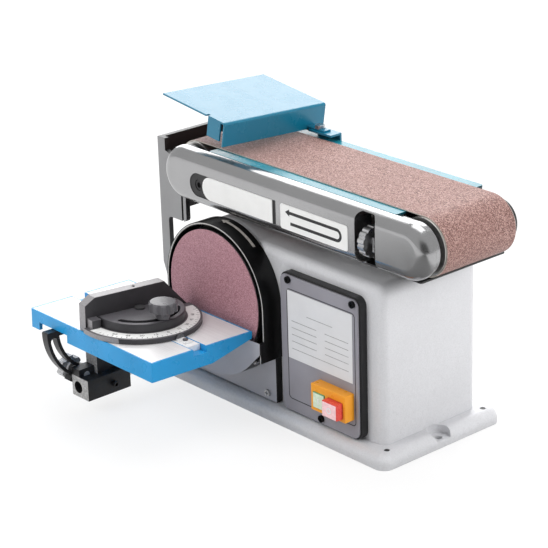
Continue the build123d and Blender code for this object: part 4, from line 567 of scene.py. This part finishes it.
# The finish of each material slot, and of the pieces that have one of their own
finishes = {
    "base_paint": hammered("hammered_silver", (0.71, 0.712, 0.735), 0.34),
    "arm_grey": painted(
        "arm_metallic_grey", (0.40, 0.40, 0.405), 0.18, metallic=0.95, drift=0.03, peel=1.4 * mm,
        wear=0.15, bare=(0.6, 0.6, 0.6),
    ),
    "yoke_grey": yoke_finish(),
    "black_steel": painted("satin_black_paint", satin_black, 0.36),
    "black_plastic": moulded("black_plastic_grain", (0.010, 0.010, 0.011), 0.42),
    "cover_grey": cover_finish(),
    "panel_grey": moulded("panel_grey_grain", (0.28, 0.272, 0.305), 0.40),
    "plate_white": plate_finish("white_plate", (0.86, 0.86, 0.85)),
    "switch_yellow": moulded("switch_orange", (0.90, 0.36, 0.025), 0.30, 0.8 * mm, 0.01 * mm, 0.03),
    # The second colour of each button is painted light and sheen on its front face
    "button_green": button_finish("button_green", (0.20, 0.46, 0.24), lit_front=(0.68, 0.80, 0.62)),
    "button_red": button_finish("button_red", (0.72, 0.075, 0.060), lit_front=(0.96, 0.64, 0.66)),
    "steel": turned("bright_steel", (0.62, 0.62, 0.63), 0.26, (900, 60, 900)),
    "black_screw": painted("blackened_steel", (0.030, 0.030, 0.032), 0.34, metallic=0.6),
    "alloy": turned("turned_alloy", (0.66, 0.66, 0.67), 0.30, (700, 700, 700)),
    "abrasive_belt": gritted(
        "belt_grain", (0.105, 0.048, 0.042), (0.29, 0.155, 0.135), (0.56, 0.37, 0.33), grain=0.9 * mm,
        roughness=0.62, gloss=0.45, depth=0.28 * mm, strength=0.8, backing=(0.75, 0.70, 0.63),
    ),
    "abrasive_disc": gritted(
        "disc_grain", (0.235, 0.104, 0.130), (0.42, 0.203, 0.243), (0.60, 0.36, 0.395), grain=0.6 * mm,
        roughness=0.55, gloss=0.4, depth=0.12 * mm, strength=0.7,
    ),
    "blue_paint": painted(
        "blue_paint", (0.006, 0.172, 0.285), 0.25, drift=0.02, peel=3 * mm,
        wear=0.10, bare=(0.20, 0.50, 0.70), coat=0.12,
    ),
    "teal_paint": platen_finish(),
    "table_alloy": table_finish(),
    "mitre_black": mitre_finish(),
    "motor_paint": painted("motor_dark_paint", (0.06, 0.06, 0.06), 0.45),
    "iron_core": turned("laminated_iron", (0.30, 0.30, 0.30), 0.45, (200, 2500, 200)),
    "drive_rubber": moulded("drive_rubber", (0.02, 0.02, 0.02), 0.7),
    "knob_grey": moulded("knob_grey_grain", (0.48, 0.48, 0.49), 0.42),
}
black_ink = ink_finish("black_ink", (0.020, 0.020, 0.022))
grey_ink = ink_finish("grey_ink", (0.30, 0.30, 0.31))
pale_ink = ink_finish("pale_ink", (0.50, 0.47, 0.44))
bright_drum = turned("turned_drum", (0.86, 0.85, 0.83), 0.34, (700, 60, 700))
plated = bar_finish()
special = {
    "table_block": block_finish(),
    "table_quadrant": finishes["black_steel"],
    "arm_rear_housing": finishes["black_steel"],
    "idler_drum": bright_drum,
    "drive_drum": bright_drum,
    "disc_housing": guard_finish(),
    "front_cover_screws": screw_finish(),
    "mitre_pointer": plated,
    "mitre_bar": plated,
    "rating_plate": plate_finish("rating_plate_white", (0.72, 0.72, 0.735)),
    "mitre_knob": moulded("mitre_knob_grey", (0.105, 0.102, 0.112), 0.28),
}
slot_of = {part["node"]: part["material_slot"] for part in frame["record"]["subparts"]}
for name, piece in nodes.items():
    piece.data.materials.clear()
    piece.data.materials.append(special.get(name) or finishes[slot_of[name]])


def add_piece(name, mesh_builder, material, body, replaced=()):
    """Turns a finished bmesh into a named piece that rides on a body."""
    mesh = bpy.data.meshes.new(name)
    mesh_builder.to_mesh(mesh)
    mesh_builder.free()
    mesh.materials.append(material)
    piece = bpy.data.objects.new(name, mesh)
    bpy.context.scene.collection.objects.link(piece)
    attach(piece, body)
    if replaced:
        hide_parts(*replaced)
    return piece


def placed(origin, across, upward):
    """Matrix whose X runs across, Y runs upward and Z points out of the face that a plate stands on."""
    outward = across.cross(upward)
    turn = Matrix((across, upward, outward)).transposed().to_4x4()
    return Matrix.Translation(origin) @ turn


def on_front(y, z=0.0):
    """The place of a plate on a face that looks to -Y, with X across and Z upward."""
    return placed(Vector((0, y, z)), X, Z)


def arc(centre, radius, start, end, steps=12):
    """Points along an arc, angles in degrees."""
    angles = [math.radians(start + (end - start) * i / steps) for i in range(steps + 1)]
    return [(centre[0] + radius * math.cos(a), centre[1] + radius * math.sin(a)) for a in angles]


def ring(centre, radius, points=24):
    """Points round a full circle."""
    return arc(centre, radius, 0, 360 - 360 / points, points - 1)


def bar(left, right, bottom, top):
    """Outline of a rectangle."""
    return [(left, bottom), (right, bottom), (right, top), (left, top)]


def rounded_box(left, right, bottom, top, radius):
    """Outline of a rectangle with round corners."""
    corners = ((right - radius, top - radius, 0), (left + radius, top - radius, 90),
               (left + radius, bottom + radius, 180), (right - radius, bottom + radius, 270))
    return [point for x, y, start in corners for point in arc((x, y), radius, start, start + 90, 6)]


def flat_plate(builder, loops, thickness, place):
    """Adds a flat plate with that outline and holes, standing on the place's own XY plane, to a bmesh."""
    edges = []
    for loop in loops:
        points = [builder.verts.new((x, y, thickness)) for x, y in loop]
        edges += [builder.edges.new((points[i - 1], points[i])) for i in range(len(points))]
    filled = bmesh.ops.triangle_fill(builder, edges=edges, use_beauty=True, use_dissolve=False)
    faces = [item for item in filled["geom"] if isinstance(item, bmesh.types.BMFace)]
    bmesh.ops.recalc_face_normals(builder, faces=faces)
    if faces[0].normal.z < 0:
        bmesh.ops.reverse_faces(builder, faces=faces)
    lower = bmesh.ops.extrude_face_region(builder, geom=faces, use_keep_orig=True)
    moved = [item for item in lower["geom"] if isinstance(item, bmesh.types.BMVert)]
    bmesh.ops.translate(builder, verts=moved, vec=(0, 0, -thickness))
    turned_faces = [item for item in lower["geom"] if isinstance(item, bmesh.types.BMFace)]
    bmesh.ops.reverse_faces(builder, faces=turned_faces)
    touched = {vert for face in faces + turned_faces for vert in face.verts}
    bmesh.ops.transform(builder, matrix=place, verts=list(touched))


def cross_screw(builder, place, radius, height):
    """Adds a screw head with a cross recess, standing on the place's own XY plane, to a bmesh."""
    tip = 0.62 * radius
    half = 0.15 * radius
    floor_height = 0.35 * height
    floor_share = 0.9
    quarter = [(half, half), (half, tip), (-half, tip)]
    cross = []
    for turn in range(4):
        cosine = round(math.cos(turn * math.pi / 2))
        sine = round(math.sin(turn * math.pi / 2))
        cross += [(x * cosine - y * sine, x * sine + y * cosine) for x, y in quarter]
    rim = ring((0, 0), radius)
    flat_plate(builder, [rim, cross], height, place)
    flat_plate(builder, [[(floor_share * x, floor_share * y) for x, y in rim]], floor_height, place)


def lettering(builder, text, size, thickness, place):
    """Adds raised figures in the built-in font, centred on the place, to a bmesh."""
    curve = bpy.data.curves.new("figures", "FONT")
    curve.body = text
    curve.size = size
    curve.align_x = "CENTER"
    curve.align_y = "CENTER"
    curve.extrude = thickness / 2
    holder = bpy.data.objects.new("figures", curve)
    bpy.context.scene.collection.objects.link(holder)
    bpy.context.view_layer.update()
    shape = bpy.data.meshes.new_from_object(holder.evaluated_get(bpy.context.evaluated_depsgraph_get()))
    shape.transform(place @ Matrix.Translation((0, 0, thickness / 2)))
    builder.from_mesh(shape)
    bpy.data.objects.remove(holder)
    bpy.data.curves.remove(curve)
    bpy.data.meshes.remove(shape)


def tube(builder, points, radius, sides=10):
    """Adds a round wire along points that wind about the X axis, with closed ends, to a bmesh."""
    angles = [2 * math.pi * k / sides for k in range(sides)]
    rings = []
    for i, point in enumerate(points):
        along = (points[min(i + 1, len(points) - 1)] - points[max(i - 1, 0)]).normalized()
        side = along.cross(X).normalized()
        up = side.cross(along)
        spokes = [math.cos(angle) * side + math.sin(angle) * up for angle in angles]
        rings.append([builder.verts.new(point + radius * spoke) for spoke in spokes])
    for first, second in zip(rings, rings[1:]):
        for k in range(sides):
            builder.faces.new((first[k - 1], first[k], second[k], second[k - 1]))
    builder.faces.new(rings[0])
    builder.faces.new(reversed(rings[-1]))
    bmesh.ops.recalc_face_normals(builder, faces=builder.faces[:])


# Blank label in the arm's long slot, round at the lock screw's end
ink_thickness = 0.12 * mm
plate_low, plate_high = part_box("slot_plate")
label_half = (plate_high.z - plate_low.z) / 2
label_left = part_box("arm_lock_screw")[1].x + 1.0 * mm
label_right = plate_high.x - 5.0 * mm
label_thickness = 0.8 * mm
label_middle = (plate_low.z + plate_high.z) / 2
outline = arc((label_left + label_half, 0), label_half, 90, 270, 24)
outline += [(label_right, -label_half), (label_right, label_half)]
label = bmesh.new()
flat_plate(label, [outline], label_thickness, on_front(plate_low.y, label_middle))
add_piece("slot_label", label, finishes["plate_white"], "arm")

# Running-direction arrow on its own plate: two strokes joined by a round bend
arrow_low, arrow_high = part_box("arrow_plate")
arrow_middle = (arrow_low.z + arrow_high.z) / 2
arrow_length = arrow_high.x - arrow_low.x
arrow_spread = 0.21 * (arrow_high.z - arrow_low.z)
arrow_stroke = 3.4 * mm
arrow_head = 3.9 * mm
arrow_tip = arrow_low.x + 0.075 * arrow_length
arrow_neck = arrow_tip + 6.5 * mm
arrow_tail = arrow_tip + 8.0 * mm
outer = arrow_spread + arrow_stroke / 2
inner = arrow_spread - arrow_stroke / 2
arrow_bend = arrow_high.x - 0.085 * arrow_length - outer
outline = [(arrow_tail, -outer)] + arc((arrow_bend, 0), outer, -90, 90, 20)
outline += [(arrow_neck, outer), (arrow_neck, arrow_spread + arrow_head), (arrow_tip, arrow_spread)]
outline += [(arrow_neck, arrow_spread - arrow_head), (arrow_neck, inner)]
outline += arc((arrow_bend, 0), inner, 90, -90, 20) + [(arrow_tail, -inner)]
arrow = bmesh.new()
flat_plate(arrow, [outline], ink_thickness, on_front(arrow_low.y, arrow_middle))
add_piece("direction_arrow", arrow, black_ink, "arm")

# Switch panel: a line round the plate and the switch
panel_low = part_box("switch_panel")[0]
rating_low, rating_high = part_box("rating_plate")
line_left = rating_low.x - 1.5 * mm
line_right = rating_high.x + 4.0 * mm
line_bottom = panel_low.z + 14.0 * mm
line_top = rating_high.z + 2.0 * mm
line_width = 0.9 * mm
line_corner = 5 * mm
line_thickness = 0.15 * mm
loops = []
for inset in (0, line_width):
    sides = (line_left + inset, line_right - inset, line_bottom + inset, line_top - inset)
    loops.append(rounded_box(*sides, line_corner - inset))
panel_line = bmesh.new()
flat_plate(panel_line, loops, line_thickness, on_front(panel_low.y))
add_piece("panel_line", panel_line, black_ink, "stand")

# Blank rules on the rating plate: two columns, one rule at the foot and one at the head. Spans are shares
# of its width and height
rule_height = 0.7 * mm
rule_thickness = 0.06 * mm
row_heights = (0.26, 0.36, 0.46, 0.56)
rule_spans = [(0.06, 0.45, height) for height in row_heights]
rule_spans += [(0.58, 0.94, height) for height in row_heights]
rule_spans += [(0.06, 0.94, 0.15), (0.30, 0.70, 0.70)]
plate_width = rating_high.x - rating_low.x
plate_height = rating_high.z - rating_low.z
rules = bmesh.new()
for start, end, height in rule_spans:
    rule_left = rating_low.x + start * plate_width
    rule_right = rating_low.x + end * plate_width
    rule_bottom = rating_low.z + height * plate_height
    outline = bar(rule_left, rule_right, rule_bottom, rule_bottom + rule_height)
    flat_plate(rules, [outline], rule_thickness, on_front(rating_low.y))
add_piece("plate_rules", rules, grey_ink, "stand")

# Plain marks on the two buttons: a bar for on, a ring for off
mark_thickness = 0.25 * mm
on_half_width = 0.7 * mm
on_half_height = 3.4 * mm
on_corner = 0.5 * mm
off_radii = (3.5 * mm, 2.2 * mm)
for name, body, slot in (("start_button", "start", "button_green"), ("stop_button", "stop", "button_red")):
    button_low, button_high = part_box(name)
    x = (button_low.x + button_high.x) / 2
    z = (button_low.z + button_high.z) / 2
    if body == "start":
        sides = (x - on_half_width, x + on_half_width, z - on_half_height, z + on_half_height)
        loops = [rounded_box(*sides, on_corner)]
    else:
        loops = [ring((x, z), radius) for radius in off_radii]
    mark = bmesh.new()
    flat_plate(mark, loops, mark_thickness, on_front(button_low.y))
    add_piece(f"{body}_mark", mark, finishes["plate_white"], body)

# Turning arrow on top of the disc guard: drawn flat along its sweep, then bent round the arch
guard_low, guard_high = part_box("disc_housing")
spindle = Vector(joints["spindle_spin"]["pos_m"])
guard_reach = (guard_high.x - guard_low.x) / 2
turn_start = math.radians(52)
turn_sweep = 58 * mm
turn_y = guard_high.y - 9.0 * mm
half = 1.7 * mm
barb = 4.6 * mm
head = 9.0 * mm
shaft_steps = 16
head_steps = 4
shaft = [i * (turn_sweep - head) / shaft_steps for i in range(shaft_steps + 1)]
tip = [
    (turn_sweep - head + head * i / head_steps, barb * (1 - i / head_steps))
    for i in range(head_steps + 1)
]
outline = [(s, -half) for s in shaft] + [(s, -width) for s, width in tip]
outline += [(s, width) for s, width in reversed(tip[:-1])] + [(s, half) for s in reversed(shaft)]
turn_arrow = bmesh.new()
flat_plate(turn_arrow, [outline], ink_thickness, Matrix.Identity(4))
for vert in turn_arrow.verts:
    s, width, lift = vert.co
    angle = turn_start + s / guard_reach
    outward = math.cos(angle) * X + math.sin(angle) * Z
    vert.co = Vector((spindle.x, turn_y + width, spindle.z)) + (guard_reach + lift) * outward
bmesh.ops.recalc_face_normals(turn_arrow, faces=turn_arrow.faces[:])
add_piece("guard_arrow", turn_arrow, pale_ink, "stand")

# Screws in the flanks of the lower disc cover, which slope at 45 degrees
cover_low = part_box("lower_disc_cover")[0]
flank_reach = spindle.z - cover_low.z - 20 * mm
flank_shift = 6.0 * mm
flank_middle = Vector((spindle.x, cover_low.y + 6.5 * mm, spindle.z))
flank_screws = bmesh.new()
for side in (-1, 1):
    out = Vector((side, 0, -1)).normalized()
    up_slope = Vector((side, 0, 1)).normalized()
    spot = flank_middle + flank_reach * out + flank_shift * up_slope
    cross_screw(flank_screws, placed(spot, Y.cross(out), Y), radius=3.4 * mm, height=1.8 * mm)
add_piece("flank_screws", flank_screws, finishes["steel"], "stand")

# Mitre scale: a tick for each five degrees and a figure for each fifteen, up to 60
pivot = Vector(joints["mitre_swivel"]["pos_m"])
normal = Vector(joints["mitre_swivel"]["axis"]).normalized()
scale_points = [point - pivot for point in world_points("mitre_scale")]
scale_top = max(point.dot(normal) for point in scale_points)
scale_reach = max((point - point.dot(normal) * normal).length for point in scale_points)
scale_middle = pivot + scale_top * normal
scale_rest = math.radians(-6)
scale_thickness = 0.06 * mm
tick_half = 0.28 * mm
tick_reach = scale_reach - 0.6 * mm
long_tick = 4.2 * mm
short_tick = 2.6 * mm
figure_size = 5.6 * mm
figure_reach = scale_reach - 8.2 * mm
figure_step = 15
last_figure = 60
ticks = bmesh.new()
for degrees in range(-75, 80, 5):
    angle = scale_rest + math.radians(degrees)
    radial = math.cos(angle) * X + math.sin(angle) * normal.cross(X)
    across = (-radial).cross(normal)
    on_figure = degrees % figure_step == 0
    outline = bar(-tick_half, tick_half, 0, long_tick if on_figure else short_tick)
    flat_plate(ticks, [outline], scale_thickness, placed(scale_middle + tick_reach * radial, across, -radial))
    if on_figure and abs(degrees) <= last_figure:
        figure_place = placed(scale_middle + figure_reach * radial, across, -radial)
        lettering(ticks, str(abs(degrees)), figure_size, scale_thickness, figure_place)
add_piece("scale_figures", ticks, black_ink, "mitre_turner")

# Coil of the belt tension spring
spring_low, spring_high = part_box("tension_spring")
spring_length = spring_high.x - spring_low.x
wire = 1.2 * mm
coil_radius = (spring_high.z - spring_low.z) / 2 - wire
coil_middle = (spring_low.z + spring_high.z) / 2
turns = 8
steps = 24 * turns
coil_points = []
for i in range(steps + 1):
    share = i / steps
    angle = 2 * math.pi * turns * share
    along = spring_low.x + wire + (spring_length - 2 * wire) * share
    height = coil_middle + coil_radius * math.sin(angle)
    coil_points.append(Vector((along, coil_radius * math.cos(angle), height)))
coil = bmesh.new()
tube(coil, coil_points, wire)
coil_piece = add_piece("tension_coil", coil, finishes["steel"], "arm", ("tension_spring",))
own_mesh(coil_piece)

# Camera where the photograph was taken from
photo_azimuth = math.radians(49.29)
photo_elevation = math.radians(21.40)
photo_roll = math.radians(-1.754)
photo_place = Vector((1.6119, -1.4477, 0.9939))
forward = Vector((
    -math.sin(photo_azimuth) * math.cos(photo_elevation),
    math.cos(photo_azimuth) * math.cos(photo_elevation),
    -math.sin(photo_elevation),
))
level = Vector((math.cos(photo_azimuth), math.sin(photo_azimuth), 0))
to_camera = Vector((math.sin(photo_azimuth), -math.cos(photo_azimuth), 0))
lifted = level.cross(forward)
rightward = math.cos(photo_roll) * level + math.sin(photo_roll) * lifted
upward = -math.sin(photo_roll) * level + math.cos(photo_roll) * lifted
camera = bpy.data.objects.new("camera", bpy.data.cameras.new("camera"))
camera.data.sensor_fit = "HORIZONTAL"
camera.data.sensor_width = 36.0
camera.data.lens = 137.4
camera_turn = Matrix((rightward, upward, -forward)).transposed().to_4x4()
camera.matrix_world = Matrix.Translation(photo_place) @ camera_turn
bpy.context.scene.collection.objects.link(camera)
bpy.context.scene.camera = camera


# Studio: pale floor, soft world that is darker on the photograph's side, and soft boxes
def floor_finish():
    """Pale floor that keeps the shadow. Shiny faces see it dark on a patch at the photograph's side."""
    pale = 0.80
    glow = 1.06
    glow_share = 0.72
    patch_depth = 0.97
    patch_start, patch_full = 0.0, 0.09
    left_start, left_full = -0.67, -0.55
    right_full, right_end = 0.25, 0.45
    f = Finish("floor_white")
    rays = f.add("ShaderNodeLightPath").outputs
    shown = f.calculate("MAXIMUM", rays["Is Camera Ray"], rays["Is Glossy Ray"])
    shown = f.calculate("MAXIMUM", shown, rays["Is Transmission Ray"])
    beside = f.along(level)
    patch = f.times(
        f.spread(f.along(to_camera), 0.0, patch_depth, patch_start, patch_full),
        f.spread(beside, 0.0, 1.0, left_start, left_full),
        f.spread(beside, 1.0, 0.0, right_full, right_end),
    )
    mirrored = f.times(patch, rays["Is Glossy Ray"])
    lit = f.add("ShaderNodeBsdfDiffuse", {"Color": (pale, pale, pale, 1)}).outputs["BSDF"]
    glowing = f.add("ShaderNodeEmission", {"Strength": f.times(f.rest(mirrored), glow)}).outputs["Emission"]
    blend = f.add("ShaderNodeMixShader", {0: f.times(shown, glow_share), 1: lit, 2: glowing})
    f.tree.links.new(blend.outputs["Shader"], f.tree.nodes["Material Output"].inputs["Surface"])
    f.tree.nodes.remove(f.shader)
    return f.material


floor_radius = 9.0
floor_builder = bmesh.new()
bmesh.ops.create_circle(floor_builder, cap_ends=True, segments=96, radius=floor_radius)
floor_mesh = bpy.data.meshes.new("floor")
floor_builder.to_mesh(floor_mesh)
floor_builder.free()
floor_mesh.materials.append(floor_finish())
floor = bpy.data.objects.new("floor", floor_mesh)
bpy.context.scene.collection.objects.link(floor)

lobe_aim = (to_camera.x, to_camera.y, 0.12)
lobe_start, lobe_full = 0.72, 0.97
sky_strength, lobe_strength = 0.62, 0.10
world = bpy.data.worlds.new("studio")
bpy.context.scene.world = world
world.use_nodes = True
sky = world.node_tree
direction = add_node(sky, "ShaderNodeTexCoord").outputs["Generated"]
facing = add_node(sky, "ShaderNodeVectorMath", {0: direction, 1: lobe_aim}, operation="DOT_PRODUCT")
lobe_inputs = {
    "Value": facing.outputs["Value"],
    "From Min": lobe_start,
    "From Max": lobe_full,
    "To Min": sky_strength,
    "To Max": lobe_strength,
}
lobe = add_node(sky, "ShaderNodeMapRange", lobe_inputs, interpolation_type="SMOOTHSTEP")
seen = add_node(sky, "ShaderNodeLightPath").outputs["Is Camera Ray"]
backdrop = add_node(sky, "ShaderNodeMath", {0: lobe.outputs["Result"], 1: seen}, operation="MAXIMUM")
sky.links.new(backdrop.outputs["Value"], sky.nodes["Background"].inputs["Strength"])
sky.nodes["Background"].inputs["Color"].default_value = (1, 1, 1, 1)


def soft_box(name, place, size, watts, mirrored=True):
    """A square soft lamp that shines at the sander's middle, and shows in glossy faces if mirrored."""
    aim = Vector((0, 0, 0.15))
    lamp = bpy.data.lights.new(name, "AREA")
    lamp.shape = "SQUARE"
    lamp.size = size
    lamp.energy = watts
    holder = bpy.data.objects.new(name, lamp)
    holder.location = place
    holder.rotation_mode = "QUATERNION"
    holder.rotation_quaternion = (aim - Vector(place)).to_track_quat("-Z", "Y")
    holder.visible_glossy = mirrored
    bpy.context.scene.collection.objects.link(holder)


soft_box("key_box", place=(-0.7, -2.0, 1.5), size=1.3, watts=23, mirrored=False)
soft_box("fill_box", place=(2.1, 0.6, 1.2), size=1.3, watts=26, mirrored=False)
soft_box("top_box", place=(-0.1, 0.5, 2.2), size=1.5, watts=18)
soft_box("back_box", place=(-1.45, 1.25, 1.2), size=2.0, watts=34)

bpy.context.scene.view_settings.view_transform = "Standard"
